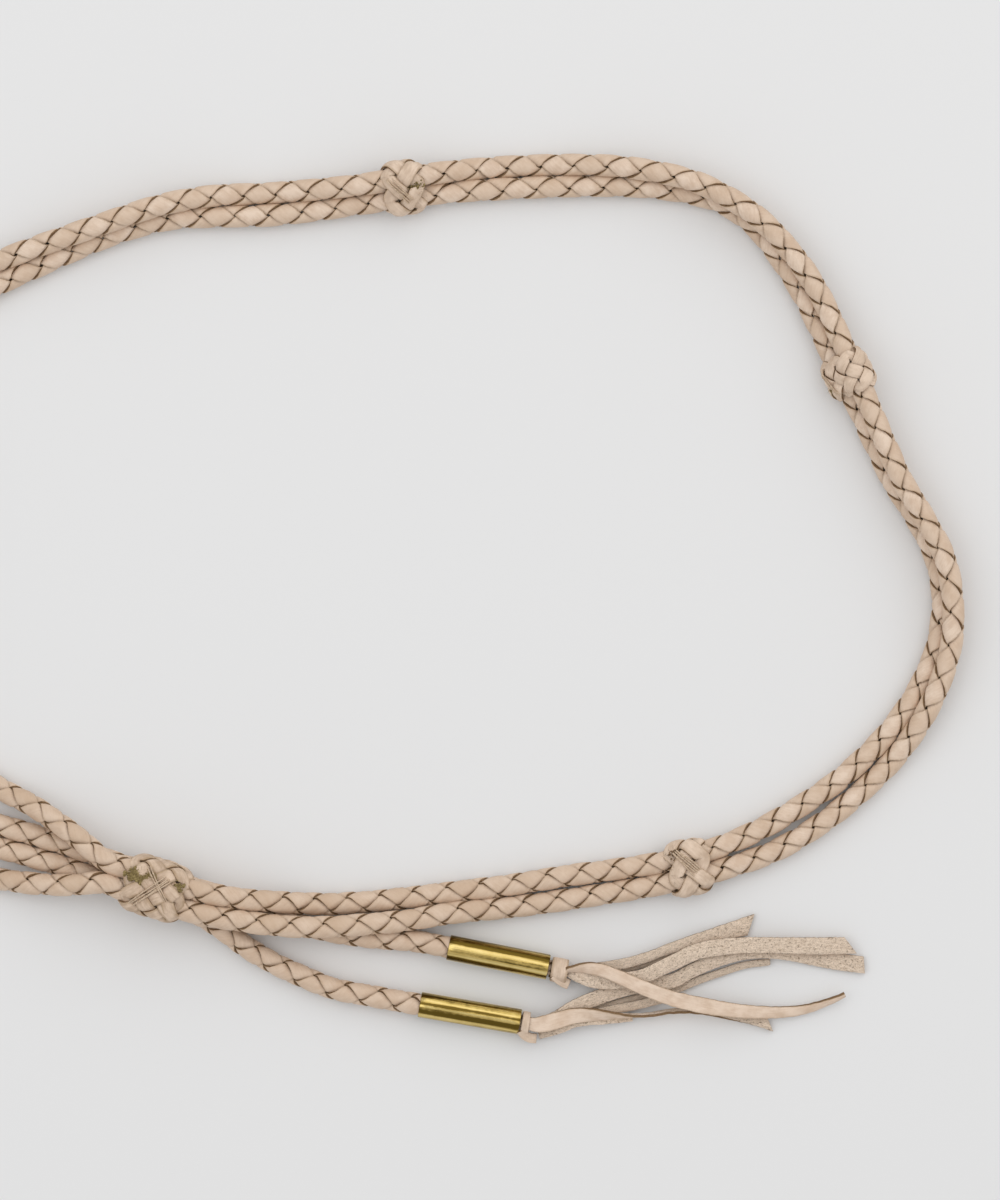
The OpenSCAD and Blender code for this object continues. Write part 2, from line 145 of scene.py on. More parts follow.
STRANDS = {
    "right_inner": [
        [
            (0.0166, -0.0926, 0.0012, 0), (0.024, -0.0934, 0.0008, 0), (0.0316, -0.0921, 0.0007, 0),
            (0.0405, -0.089, 0.0007, 0), (0.0453, -0.087, 0.0007, 0), (0.051, -0.085, 0.0007, 0),
        ],
        [
            (0.0166, -0.0924, 0.0025, 0), (0.024, -0.0918, 0.0023, 0), (0.0316, -0.0906, 0.0022, 0),
            (0.0373, -0.0889, 0.0022, 0), (0.0421, -0.0871, 0.0022, 0), (0.0469, -0.0856, 0.0022, 0),
            (0.052, -0.0842, 0.0018, 0), (0.057, -0.0828, 0.001, 0), (0.0627, -0.0811, 0.0007, 0),
        ],
        [
            (0.0166, -0.0924, 0.0038, 0), (0.023, -0.0946, 0.0038, 0), (0.028, -0.095, 0.0038, 0),
            (0.032, -0.0946, 0.0038, 0), (0.036, -0.0937, 0.0038, 0), (0.0392, -0.0922, 0.0038, 0),
            (0.0437, -0.0901, 0.0038, 0), (0.0485, -0.0878, 0.0038, 0), (0.054, -0.0866, 0.0038, 0),
            (0.062, -0.086, 0.0038, 0), (0.07, -0.0861, 0.0034, 0), (0.079, -0.0863, 0.0026, 0),
            (0.0875, -0.0862, 0.002, 0),
        ],
        [
            (0.0166, -0.0922, 0.0051, 0), (0.021, -0.0916, 0.0052, 0), (0.025, -0.0921, 0.0053, 0),
            (0.0293, -0.0937, 0.0055, 0), (0.0357, -0.0965, 0.0057, 0), (0.0421, -0.0989, 0.0057, 0),
            (0.0485, -0.1005, 0.0056, 0), (0.0549, -0.1017, 0.0052, 0), (0.06, -0.1024, 0.0044, 0),
            (0.065, -0.1028, 0.0032, 3), (0.069, -0.1029, 0.0024, 8), (0.0738, -0.1026, 0.0019, 15),
            (0.0775, -0.1019, 0.0019, 27), (0.0807, -0.1008, 0.0022, 40),
            (0.0835, -0.0997, 0.0025, 52), (0.086, -0.0984, 0.0028, 65),
        ],
    ],
    "right_outer": [
        [
            (0.0096, -0.1059, 0.0012, 0), (0.015, -0.1056, 0.0008, 0), (0.021, -0.1036, 0.0007, 0),
            (0.028, -0.1013, 0.0007, 0), (0.034, -0.0996, 0.0007, 0), (0.04, -0.0982, 0.0007, 0),
            (0.0453, -0.0967, 0.0007, 0), (0.0501, -0.0948, 0.0007, 0), (0.0549, -0.0932, 0.0007, 0),
            (0.0609, -0.0913, 0.0007, 0), (0.0675, -0.0904, 0.0007, 0),
        ],
        [
            (0.0096, -0.106, 0.0025, 0), (0.015, -0.1053, 0.0023, 0), (0.022, -0.1036, 0.0021, 0),
            (0.0293, -0.102, 0.0021, 0), (0.0341, -0.1011, 0.0021, 0), (0.041, -0.0994, 0.0021, 0),
        ],
        [
            (0.0096, -0.1059, 0.0038, 0), (0.014, -0.1043, 0.00375, 0), (0.018, -0.1019, 0.0035, 0),
            (0.0214, -0.1003, 0.003, 0), (0.0246, -0.0991, 0.0026, 0), (0.0278, -0.098, 0.0023, 0),
            (0.032, -0.0968, 0.0022, 0), (0.038, -0.0959, 0.0022, 0), (0.0437, -0.0948, 0.0022, 0),
            (0.0469, -0.093, 0.0022, 0), (0.0517, -0.0908, 0.0022, 0), (0.0565, -0.089, 0.0022, 0),
            (0.061, -0.0879, 0.0022, 0), (0.066, -0.0876, 0.0021, 0), (0.072, -0.0882, 0.0014, 0),
            (0.078, -0.0893, 0.0008, 0), (0.084, -0.0903, 0.0007, 0), (0.091, -0.0912, 0.0007, 0),
        ],
        [
            (0.0096, -0.1057, 0.0051, 0), (0.014, -0.1047, 0.0053, 0), (0.018, -0.1036, 0.0051, 10),
            (0.022, -0.1033, 0.0047, 30), (0.0262, -0.1034, 0.0045, 55), (0.03, -0.1036, 0.0034, 75),
            (0.034, -0.1036, 0.0028, 88), (0.038, -0.1033, 0.0027, 92), (0.0421, -0.1026, 0.0027, 95),
            (0.046, -0.1023, 0.0027, 102), (0.05, -0.1023, 0.0026, 112), (0.054, -0.1026, 0.0023, 130),
            (0.058, -0.1032, 0.0019, 150), (0.0625, -0.1041, 0.0013, 168),
            (0.0672, -0.1055, 0.0008, 176),
        ],
    ],
    "left_inner": [
        [
            (-0.1539, 0.0048, 0.0012, 0), (-0.159, 0.019, 0.0008, 0), (-0.159, 0.037, 0.0007, 0),
            (-0.152, 0.054, 0.0007, 0),
        ],
        [
            (-0.1539, 0.0048, 0.0025, 0), (-0.1555, 0.022, 0.0022, 0), (-0.1505, 0.04, 0.001, 0),
            (-0.142, 0.06, 0.0007, 0),
        ],
        [
            (-0.1538, 0.0048, 0.0038, 0), (-0.151, 0.022, 0.0036, 0), (-0.143, 0.04, 0.0016, 0),
            (-0.134, 0.057, 0.0007, 0),
        ],
        [
            (-0.1537, 0.0048, 0.0051, 0), (-0.148, 0.02, 0.005, 0), (-0.138, 0.032, 0.0036, 0),
            (-0.131, 0.046, 0.0007, 0),
        ],
    ],
    "left_outer": [
        [
            (-0.1891, -0.0632, 0.0012, 0), (-0.207, -0.067, 0.0008, 0), (-0.225, -0.071, 0.0007, 0),
            (-0.243, -0.072, 0.0007, 0),
        ],
        [
            (-0.1891, -0.0631, 0.0025, 0), (-0.208, -0.0632, 0.0022, 0), (-0.228, -0.0642, 0.0012, 0),
            (-0.25, -0.066, 0.0007, 0),
        ],
        [
            (-0.1891, -0.0631, 0.0038, 0), (-0.208, -0.0602, 0.0037, 0), (-0.229, -0.057, 0.002, 0),
            (-0.255, -0.0574, 0.0007, 0),
        ],
        [
            (-0.1891, -0.063, 0.0051, 0), (-0.206, -0.0585, 0.005, 0), (-0.222, -0.051, 0.0037, 0),
            (-0.24, -0.0465, 0.0007, 0),
        ],
    ],
}

# The tails: middle of each brass tube, its heading in degrees, and how far it slides up the cord
TUBES = {
    "right_inner": ((-0.0004, -0.08907), -11.2, 0.006),
    "right_outer": ((-0.0075, -0.103), -9.8, 0.010),
    "left_inner": ((-0.148, -0.0115), 110.0, 0.012),
    "left_outer": ((-0.1719, -0.0648), 174.5, 0.012),
}
PAIR_PITCH = 0.0054
LIE_Z = 0.0028
KEEPER_AT = [5, 20, 32, 42, 47]
SLIDER_MID = (-0.08725, -0.071)
SLIDER_TURN = -18.0
SLIDER_Z = 0.0074
SLIDER_STRAIGHT = 0.0115
TUBE_LENGTH = 0.0254
TUBE_OUTER = 0.00635
TUBE_BORE = 0.0057
TIE_GAP = 0.0003
CORD_IN_TIE = 0.003


def unit(v):
    return v / np.linalg.norm(v, axis=-1, keepdims=True)


def heading_of(turn):
    """Level unit vectors along a heading and to its left."""
    a = math.radians(turn)
    return np.array([math.cos(a), math.sin(a), 0]), np.array([-math.sin(a), math.cos(a), 0])


def lane(side):
    """One cord of the pair round the loop: side is -1 for the inner one and 1 for the outer one."""
    loop = np.array(LOOP)
    plan = loop[:, :2]
    before = np.vstack([plan[:1], plan[:-1]])
    after = np.vstack([plan[1:], plan[-1:]])
    t = unit(after - before)
    spacing = loop[:, 2:3]
    at = plan + side * spacing / 2 * np.column_stack([t[:, 1], -t[:, 0]])
    rise = np.sqrt(np.maximum(0, PAIR_PITCH**2 - loop[:, 2] ** 2)) if side > 0 else 0
    return np.column_stack([at, LIE_Z + loop[:, 3] + rise])


def straight(start, end, count):
    return [start + (end - start) * i / (count - 1) for i in range(count)]


def slider_run(side, layer):
    """The straight run through the sliding knot."""
    along, left = heading_of(SLIDER_TURN)
    middle = np.array([*SLIDER_MID, SLIDER_Z + layer * PAIR_PITCH / 2]) + side * PAIR_PITCH / 2 * left
    return straight(middle - SLIDER_STRAIGHT * along, middle + SLIDER_STRAIGHT * along, 5)


def tail_point(tail, step):
    middle, turn, _ = TUBES[tail]
    return np.array([*middle, TUBE_OUTER / 2]) + step * heading_of(turn)[0]


def tail_end(tail):
    """The straight end of a tail, from where its tube may slide to, into its tie."""
    start = tail_point(tail, -TUBE_LENGTH / 2 - TUBES[tail][2] - 0.001)
    return straight(start, tail_point(tail, TUBE_LENGTH / 2 + TIE_GAP + CORD_IN_TIE), 6)


def cord_route(side, left_tail, right_run, left_run, right_tail, left_end, right_end):
    """A whole cord: from its left tail through the knot, round the loop and back to its right tail."""
    return np.vstack([
        tail_end(left_end)[::-1], left_tail[::-1], slider_run(-side, 1), right_run,
        lane(side), left_run[::-1], slider_run(-side, -1), right_tail, tail_end(right_end),
    ]) + LAY_SHIFT


def smooth_line(points, step):
    """Points about a step apart on the centripetal Catmull-Rom curve through the given ones."""
    p = np.asarray(points, float)
    p = np.vstack([2 * p[0] - p[1], p, 2 * p[-1] - p[-2]])
    knots = np.concatenate([[0], np.cumsum(np.linalg.norm(np.diff(p[:, :3], axis=0), axis=1) ** 0.5)])
    dense = []
    for i in range(1, len(p) - 2):
        t = np.linspace(knots[i], knots[i + 1], 32, endpoint=False)[:, None]
        k, q = knots[i - 1:i + 3], p[i - 1:i + 3]
        a = [((k[j + 1] - t) * q[j] + (t - k[j]) * q[j + 1]) / (k[j + 1] - k[j]) for j in range(3)]
        b = [((k[j + 2] - t) * a[j] + (t - k[j]) * a[j + 1]) / (k[j + 2] - k[j]) for j in range(2)]
        dense.append(((k[2] - t) * b[0] + (t - k[1]) * b[1]) / (k[2] - k[1]))
    dense = np.vstack([*dense, p[-2:-1]])
    run = np.concatenate([[0], np.cumsum(np.linalg.norm(np.diff(dense[:, :3], axis=0), axis=1))])
    s = np.linspace(0, run[-1], max(2, round(run[-1] / step) + 1))
    return np.column_stack([np.interp(s, run, c) for c in dense.T])


class Line:
    """A smooth line with part.scad's frame along it: side is level and to the left, up is square to it."""

    def __init__(self, points, step=0.0005):
        rows = smooth_line(points, step)
        self.at, self.rest = rows[:, :3], rows[:, 3:]
        steps = np.linalg.norm(np.diff(self.at, axis=0), axis=1)
        self.run = np.concatenate([[0], np.cumsum(steps)])
        self.length = self.run[-1]
        self.along = unit(np.gradient(self.at, axis=0))
        self.side = unit(np.cross(Z, self.along))
        self.up = np.cross(self.along, self.side)

    def sample(self, rows, s):
        return np.stack([np.interp(s, self.run, c) for c in rows.T], axis=-1)


def wobble(x, seed, low, high, waves=5):
    """A smooth curve that stays near -1 to 1. low and high are its slowest and fastest rates."""
    random = np.random.default_rng(seed)
    rates = random.uniform(low, high, waves)
    starts = random.uniform(0, TAU, waves)
    return sum(np.sin(rate * x + start) for rate, start in zip(rates, starts)) / math.sqrt(waves) / 1.2


# ---- Meshes ------------------------------------------------------------------------------------

# The outline of a cut strip of leather, from its left edge over the top: across (-1 to 1), height
# in half thicknesses, and which face of the leather lies between this corner and the next one.
GRAIN, EDGE, FLESH = 0, 1, 2
OUTLINE = [
    (-0.99, 0.78, GRAIN), (-0.90, 0.98, GRAIN), (-0.52, 1.0, GRAIN), (-0.17, 1.0, GRAIN),
    (0.17, 1.0, GRAIN), (0.52, 1.0, GRAIN), (0.90, 0.98, GRAIN), (0.99, 0.78, EDGE),
    (1.0, -0.75, FLESH), (0.55, -1.0, FLESH), (-0.55, -1.0, FLESH), (-1.0, -0.75, EDGE),
]
ACROSS = np.array([c[0] for c in OUTLINE])
HEIGHT = np.array([c[1] for c in OUTLINE])
ZONES = np.array([c[2] for c in OUTLINE])


class Part:
    """A closed tube of rings. lay gives each corner's place on the leather, in millimetres."""

    def __init__(self, rings, lay, zones, loop=False):
        self.rings, self.lay, self.zones, self.loop = rings, lay, zones, loop


def lay_of(along, across, height, shape):
    """Place on the leather in millimetres: along it, across it, and up or down through it."""
    stacked = [np.broadcast_to(values, shape) for values in (along, across, height)]
    return np.stack(stacked, axis=-1) / MM


def make_piece(name, parts, materials, body, replaces=()):
    """One mesh object from closed tubes, riding on a CAD body."""
    points, faces, slots, lays = [], [], [], []
    base = 0
    for part in parts:
        count, corners = part.rings.shape[:2]
        index = base + np.arange(count * corners).reshape(count, corners)
        following = np.roll(index, -1, axis=0) if part.loop else index[1:]
        this = index if part.loop else index[:-1]
        beside, across = np.roll(this, -1, axis=1), np.roll(following, -1, axis=1)
        quads = np.stack([this, beside, across, following], axis=-1)
        faces += quads.reshape(-1, 4).tolist()
        slots += np.tile(part.zones, len(this)).tolist()
        if not part.loop:
            faces += [index[0, ::-1].tolist(), index[-1].tolist()]
            slots += [EDGE, EDGE] if len(materials) > 1 else [0, 0]
        points.append(part.rings.reshape(-1, 3))
        lays.append(part.lay.reshape(-1, 3))
        base += count * corners
    mesh = bpy.data.meshes.new(name)
    mesh.from_pydata(np.vstack(points).tolist(), [], faces)
    for material in materials:
        mesh.materials.append(material)
    mesh.polygons.foreach_set("material_index", slots)
    mesh.polygons.foreach_set("use_smooth", [len(face) == 4 for face in faces])
    lay = mesh.attributes.new("lay", "FLOAT_VECTOR", "POINT")
    lay.data.foreach_set("vector", np.vstack(lays).astype(np.float32).ravel())
    mesh.update()
    piece = bpy.data.objects.new(name, mesh)
    bpy.context.scene.collection.objects.link(piece)
    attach(piece, body)
    if replaces:
        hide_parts(*replaces)
    return piece


def pillow(v, depth):
    """Thickness across a strip: full in the middle and thinner at the edges by depth."""
    return 1 - depth * np.abs(v) ** 3


# ---- Materials ---------------------------------------------------------------------------------

class Recipe:
    """A node material under construction. Every texture reads the leather's own millimetres."""

    def __init__(self, name, place="lay"):
        self.material = bpy.data.materials.new(name)
        self.material.use_nodes = True
        self.tree = self.material.node_tree
        self.shader = self.tree.nodes["Principled BSDF"]
        self.place = self.node("Attribute", attribute_name=place).outputs["Vector"]

    def node(self, kind, inputs=None, **settings):
        made = self.tree.nodes.new("ShaderNode" + kind)
        for name, value in settings.items():
            setattr(made, name, value)
        for name, value in (inputs or {}).items():
            self.plug(value, made.inputs[name])
        return made

    def plug(self, value, socket):
        if isinstance(value, bpy.types.NodeSocket):
            self.tree.links.new(value, socket)
        else:
            socket.default_value = value

    def stretched(self, scale):
        """The place, scaled differently along, across and through the leather."""
        inputs = {"Vector": self.place, "Scale": scale}
        return self.node("Mapping", inputs).outputs["Vector"]

    def noise(self, scale, detail=3.0, rough=0.55, vector=None):
        inputs = {"Vector": vector or self.place, "Scale": scale, "Detail": detail, "Roughness": rough}
        return self.node("TexNoise", inputs).outputs["Fac"]

    def cells(self, scale, vector=None, feature="F1"):
        inputs = {"Vector": vector or self.place, "Scale": scale}
        return self.node("TexVoronoi", inputs, feature=feature).outputs["Distance"]

    def part(self, name):
        """One of the place's numbers: X along, Y across or Z through the leather."""
        return self.node("SeparateXYZ", {"Vector": self.place}).outputs[name]

    def maths(self, operation, a, b=0.0, clamp=False):
        made = self.node("Math", {0: a, 1: b}, operation=operation, use_clamp=clamp)
        return made.outputs["Value"]

    def steps(self, value, low, high, to_low=0.0, to_high=1.0):
        inputs = {"Value": value, "From Min": low, "From Max": high, "To Min": to_low, "To Max": to_high}
        return self.node("MapRange", inputs, clamp=True).outputs["Result"]

    def weighed(self, *pairs):
        """The sum of values, each times its share."""
        total = 0.0
        for value, share in pairs:
            total = self.maths("ADD", total, self.maths("MULTIPLY", value, share))
        return total

    def ramp(self, value, *stops):
        made = self.node("ValToRGB", {"Fac": value})
        stop = made.color_ramp.elements
        while len(stop) < len(stops):
            stop.new(0.5)
        for element, (at, colour) in zip(stop, stops):
            element.position = at
            element.color = (*colour, 1)
        return made.outputs["Color"]

    def mix(self, share, a, b):
        made = self.node("Mix", data_type="RGBA")
        for value, identifier in ((share, "Factor_Float"), (a, "A_Color"), (b, "B_Color")):
            socket = next(s for s in made.inputs if s.identifier == identifier)
            self.plug((*value, 1) if isinstance(value, tuple) else value, socket)
        return next(s for s in made.outputs if s.identifier == "Result_Color")

    def bump(self, height, depth, over=None):
        inputs = {"Height": height, "Distance": depth, "Strength": 1.0}
        if over:
            inputs["Normal"] = over
        return self.node("Bump", inputs).outputs["Normal"]

    def finish(self, **inputs):
        for name, value in inputs.items():
            socket = self.shader.inputs[name.replace("_", " ")]
            self.plug((*value, 1) if isinstance(value, tuple) else value, socket)
        return self.material


# How far along a braided strip, in millimetres, its handled ends fade out and in again
HANDLED_UNTIL = (250, 330)
HANDLED_FROM = (990, 1080)
LEFT_HANDLED_MORE = 1.7


def handled_share(recipe):
    """How much a braided strip is browned by handling: its ends, near the sliding knot."""
    run = recipe.part("X")
    left = recipe.steps(run, *HANDLED_UNTIL, LEFT_HANDLED_MORE, 0.0)
    return recipe.maths("MAXIMUM", left, recipe.steps(run, *HANDLED_FROM))


def grain_leather(name, pale, deep, shine=0.5, half=2.38, worn=0.0):
    """The smooth side: soft mottling, pores and creases, browner at the cut edges half millimetres
    from its middle line, partly the edges' own colour and partly painted shade in the seams and creases
    between strips, and by worn where it is handled."""
    recipe = Recipe(name)
    clouds = recipe.noise(0.28, 3.0)
    streaks = recipe.noise(1.0, 4.0, vector=recipe.stretched((0.5, 2.6, 1.0)))
    tone = recipe.weighed((clouds, 0.65), (streaks, 0.35))
    colour = recipe.ramp(tone, (0.39, deep), (0.59, pale))
    specks = recipe.steps(recipe.noise(5.5, 2.0), 0.60, 0.72)
    colour = recipe.mix(recipe.maths("MULTIPLY", specks, 0.28), colour, tuple(0.74 * c for c in deep))
    # Painted shade: the top turns brown towards its cut edges. This is partly the edges' own colour and
    # partly the shade that falls in the seams and creases between strips.
    ragged = recipe.maths("ADD", recipe.maths("ABSOLUTE", recipe.part("Y")), recipe.noise(2.6, 4.0, 0.7))
    edge_brown_and_seam_shade = recipe.steps(ragged, half + 0.10, half + 0.55)
    colour = recipe.mix(recipe.maths("MULTIPLY", edge_brown_and_seam_shade, 0.7), colour, RAW_PALE)
    if worn:
        colour = recipe.mix(recipe.maths("MULTIPLY", handled_share(recipe), worn), colour, WORN)
    pores = recipe.cells(4.6)
    creases = recipe.noise(1.0, 5.0, 0.6, recipe.stretched((0.9, 3.2, 1.0)))
    normal = recipe.bump(pores, 0.00003)
    normal = recipe.bump(creases, 0.00012, normal)
    rough = recipe.steps(clouds, 0.3, 0.7, shine + 0.09, shine - 0.05)
    return recipe.finish(Base_Color=colour, Roughness=rough, Normal=normal, Specular_IOR_Level=0.36)


def raw_edge(name):
    """The cut edge: dark, dry fibre."""
    recipe = Recipe(name)
    fibres = recipe.noise(1.0, 4.0, 0.7, recipe.stretched((2.2, 6.0, 9.0)))
    colour = recipe.ramp(fibres, (0.35, RAW_DARK), (0.55, RAW_MIDDLE), (0.75, RAW_PALE))
    normal = recipe.bump(fibres, 0.00022)
    return recipe.finish(Base_Color=colour, Roughness=0.92, Normal=normal, Specular_IOR_Level=0.1)


def suede(name, pale, deep):
    """The flesh side: short matted nap, streaked along the strip, with a few dark pits."""
    recipe = Recipe(name)
    nap = recipe.noise(3.4, 5.0, 0.72)
    streaks = recipe.noise(1.0, 4.0, 0.65, recipe.stretched((0.9, 4.5, 3.0)))
    tone = recipe.weighed((nap, 0.6), (streaks, 0.4))
    colour = recipe.ramp(tone, (0.40, deep), (0.5, pale), (0.60, tuple(min(1, 1.2 * c) for c in pale)))
    pits = recipe.steps(recipe.noise(1.7, 2.0, 0.6), 0.625, 0.655)
    colour = recipe.mix(recipe.maths("MULTIPLY", pits, 0.8), colour, RAW_MIDDLE)
    height = recipe.weighed((tone, 1.0), (pits, -0.6))
    normal = recipe.bump(height, 0.0004)
    material = recipe.finish(Base_Color=colour, Roughness=0.95, Normal=normal, Specular_IOR_Level=0.12)
    recipe.finish(Sheen_Weight=0.25, Sheen_Roughness=0.6)
    return material


def brass_tarnish_and_painted_reflections(name):
    """Drawn brass tube: lengthwise draw lines, soft tarnish, fine scratches and worn bright patches, with
    painted bands of reflection along it: dark bands of painted shade and bright bands of painted
    highlight.
    """
    recipe = Recipe(name)
    tarnish = recipe.noise(0.22, 5.0, 0.6)
    # Painted reflections: long dark and bright bands round the tube stand in for what the brass reflects.
    # The dark end of the ramp below is painted shade and the bright end is painted highlight, mixed with
    # some real tarnish and scuffs.
    bands = recipe.noise(1.0, 2.0, 0.5, recipe.stretched((0.015, 0.62, 0.0)))
    draw = recipe.noise(1.0, 4.0, 0.6, recipe.stretched((0.05, 3.0, 1.0)))
    scuffs = recipe.noise(1.0, 5.0, 0.75, recipe.stretched((0.9, 2.4, 1.0)))
    tone = recipe.weighed((tarnish, 0.14), (scuffs, 0.10), (bands, 0.76))
    colour = recipe.ramp(tone, (0.455, BRASS_TARNISH_AND_PAINTED_SHADE), (0.515, BRASS), (0.61, BRASS_BRIGHT_AND_PAINTED_HIGHLIGHT))
    worn = recipe.steps(recipe.weighed((tarnish, 1.0), (scuffs, 0.5)), 0.62, 0.9)
    rough = recipe.steps(worn, 0.0, 1.0, 0.12, 0.27)
    normal = recipe.bump(draw, 0.00004)
    normal = recipe.bump(scuffs, 0.000015, normal)
    return recipe.finish(Base_Color=colour, Metallic=1.0, Roughness=rough, Normal=normal)


def waxed_thread(name):
    recipe = Recipe(name)
    twist = recipe.noise(1.0, 2.0, 0.5, recipe.stretched((3.0, 2.0, 2.0)))
    colour = recipe.ramp(twist, (0.35, THREAD_DEEP), (0.6, THREAD_PALE))
    normal = recipe.bump(twist, 0.0001)
    return recipe.finish(Base_Color=colour, Roughness=0.42, Normal=normal, Specular_IOR_Level=0.5)


def fibre_material(name, pale, deep):
    """Loose fibres or dried residue: dull and uneven in colour."""
    recipe = Recipe(name)
    blotch = recipe.noise(1.3, 2.0)
    colour = recipe.ramp(blotch, (0.35, deep), (0.65, pale))
    return recipe.finish(Base_Color=colour, Roughness=0.8, Specular_IOR_Level=0.2)


def floor_paper(name):
    recipe = Recipe(name)
    grain = recipe.noise(0.6, 3.0)
    colour = recipe.ramp(grain, (0.3, (0.79, 0.788, 0.785)), (0.7, (0.80, 0.798, 0.795)))
    return recipe.finish(Base_Color=colour, Roughness=0.9, Specular_IOR_Level=0.1)


GRAIN_PALE = (0.80, 0.635, 0.50)
GRAIN_DEEP = (0.67, 0.50, 0.37)
SUEDE_PALE = (0.78, 0.63, 0.495)
SUEDE_DEEP = (0.50, 0.37, 0.255)
RAW_DARK = (0.12, 0.065, 0.028)
RAW_MIDDLE = (0.30, 0.19, 0.105)
RAW_PALE = (0.43, 0.30, 0.18)
# The dull and bright brass colours are mostly the painted shade and painted highlight of the tubes'
# reflection bands, with some real tarnish.
BRASS = (0.58, 0.42, 0.13)
BRASS_TARNISH_AND_PAINTED_SHADE = (0.14, 0.09, 0.015)
BRASS_BRIGHT_AND_PAINTED_HIGHLIGHT = (0.80, 0.63, 0.27)
THREAD_PALE = (0.70, 0.54, 0.39)
THREAD_DEEP = (0.38, 0.26, 0.16)
WORN = (0.55, 0.385, 0.255)
OLIVE_PALE = (0.36, 0.275, 0.12)
OLIVE_DEEP = (0.14, 0.095, 0.035)

grain = grain_leather("braided_grain", GRAIN_PALE, GRAIN_DEEP, worn=0.35)
strand_grain = grain_leather("strand_grain", GRAIN_PALE, GRAIN_DEEP, 0.55, 2.2)
edge = raw_edge("raw_edge")
flesh = suede("flesh_side", SUEDE_PALE, SUEDE_DEEP)
brass = brass_tarnish_and_painted_reflections("brass_tarnish_and_painted_reflections")
thread = waxed_thread("waxed_thread")

# ---- Braided cords -----------------------------------------------------------------------------

# How far along a cord its braid is drawn in for the left tube, and where it has its full width
LEFT_SLIDE = [0.042, 0.052]
BRAID_TURN = 0.0168
BRAID_MIDDLE = 0.00163
BRAID_RISE = 0.00058
BRAID_THICK = 0.00122
BRAID_RADIUS = 0.0022
BRAID_HALF = 0.00238
BRAID_PLUMP = 0.18
BRAID_SHARP = 2.4
# How far a strip's edges stand up where it lies over another
BRAID_EDGE_LIFT = 0.00008
# Where the rings lie between one crossing and the next, closest together where a strip dives
BRAID_STEPS = np.array([-0.5, -0.44, -0.36, -0.23, 0, 0.23, 0.36, 0.44])


def squarish(x, sharp):
    """A cosine wave with flatter tops."""
    return np.tanh(sharp * x) / math.tanh(sharp)


def braid(line, seed):
    """Four strips braided round the line: two wind each way, over one and under one."""
    rate = TAU / BRAID_TURN
    tangent = rate * BRAID_RADIUS
    half_phase = BRAID_HALF / (BRAID_RADIUS / math.hypot(1, tangent))
    margin = half_phase / (2 * rate)
    parts = []
    for number, (hand, start) in enumerate([(1, 0), (1, math.pi), (-1, 0), (-1, math.pi)]):
        low, high = 2 * rate * margin + hand * start, 2 * rate * (line.length - margin) + hand * start
        crossings = np.arange(math.floor(low / math.pi), math.ceil(high / math.pi) + 1)
        phase = (crossings[:, None] + BRAID_STEPS[None, :]).ravel() * math.pi
        phase = phase[(phase > low) & (phase < high)]
        own = seed * 10 + number
        width = 1 + 0.05 * wobble(phase, own, 0.2, 0.9)
        ragged = 1 + 0.035 * wobble(phase[:, None] + 40 * np.sign(ACROSS), own + 1, 2.0, 9.0)
        v = ACROSS * np.where(np.abs(ACROSS) > 0.8, ragged, 1.0)
        spread = start + v * half_phase * width[:, None]
        w = phase[:, None]
        angle = (hand * w + spread) / 2
        s = np.clip((w - hand * spread) / (2 * rate), 0, line.length)
        crossing = squarish(hand * np.cos(w + hand * start), BRAID_SHARP)
        lift = 0.00006 * wobble(w, own + 2, 0.3, 1.5)
        radius = BRAID_MIDDLE + BRAID_RISE * crossing + lift
        radius = radius + HEIGHT * BRAID_THICK / 2 * pillow(v, BRAID_PLUMP)
        radius = radius + BRAID_EDGE_LIFT * np.maximum(0, crossing) * np.abs(v) ** 3
        radius = radius * squeeze(line, s)
        angle = angle + braid_roll(s, seed)
        side, up = line.sample(line.side, s), line.sample(line.up, s)
        rings = line.sample(line.at, s)
        rings = rings + (radius * np.cos(angle))[..., None] * side
        rings = rings + (radius * np.sin(angle))[..., None] * up
        length = phase / (2 * rate) * math.hypot(1, tangent) + number * 7.3
        lay = lay_of(length[:, None], v * BRAID_HALF, HEIGHT * BRAID_THICK / 2, s.shape)
        parts.append(Part(rings, lay, ZONES))
    return parts


def squeeze(line, s):
    """The braid is drawn in where it goes into its ties, and a little where the left tubes slide."""
    from_end = np.minimum(s, line.length - s)
    mouth = CORD_IN_TIE + TIE_GAP
    tied = np.interp(from_end, [0, mouth, mouth + 0.003], [0.62, 0.66, 1.0])
    return tied * np.interp(s, LEFT_SLIDE, [0.9, 1.0])


def braid_roll(s, seed):
    """How far the braid lies rolled: one row of crossings faces up round the loop, two in the tails."""
    settled = np.interp(s, [0.17, 0.24, 0.66, 0.78], [45, 70, 80, 45])
    return np.radians(settled + 15 * wobble(s, seed + 90, 8.0, 45.0))


INNER_RUNS = (TAIL_LEFT_INNER, TOP_RIGHT_INNER, BOTTOM_LEFT_INNER, TAIL_RIGHT_INNER)
OUTER_RUNS = (TAIL_LEFT_OUTER, TOP_RIGHT_OUTER, BOTTOM_LEFT_OUTER, TAIL_RIGHT_OUTER)
CORD_ROUTES = {
    "inner_cord": cord_route(-1, *INNER_RUNS, "left_inner", "right_inner"),
    "outer_cord": cord_route(1, *OUTER_RUNS, "left_outer", "right_outer"),
}
for seed, (name, route) in enumerate(CORD_ROUTES.items(), 1):
    line = Line(route)
    cord = make_piece(
        name + "_braid", braid(line, seed), [grain, edge, flesh], "belt", [name]
    )

# ---- Woven knots -------------------------------------------------------------------------------


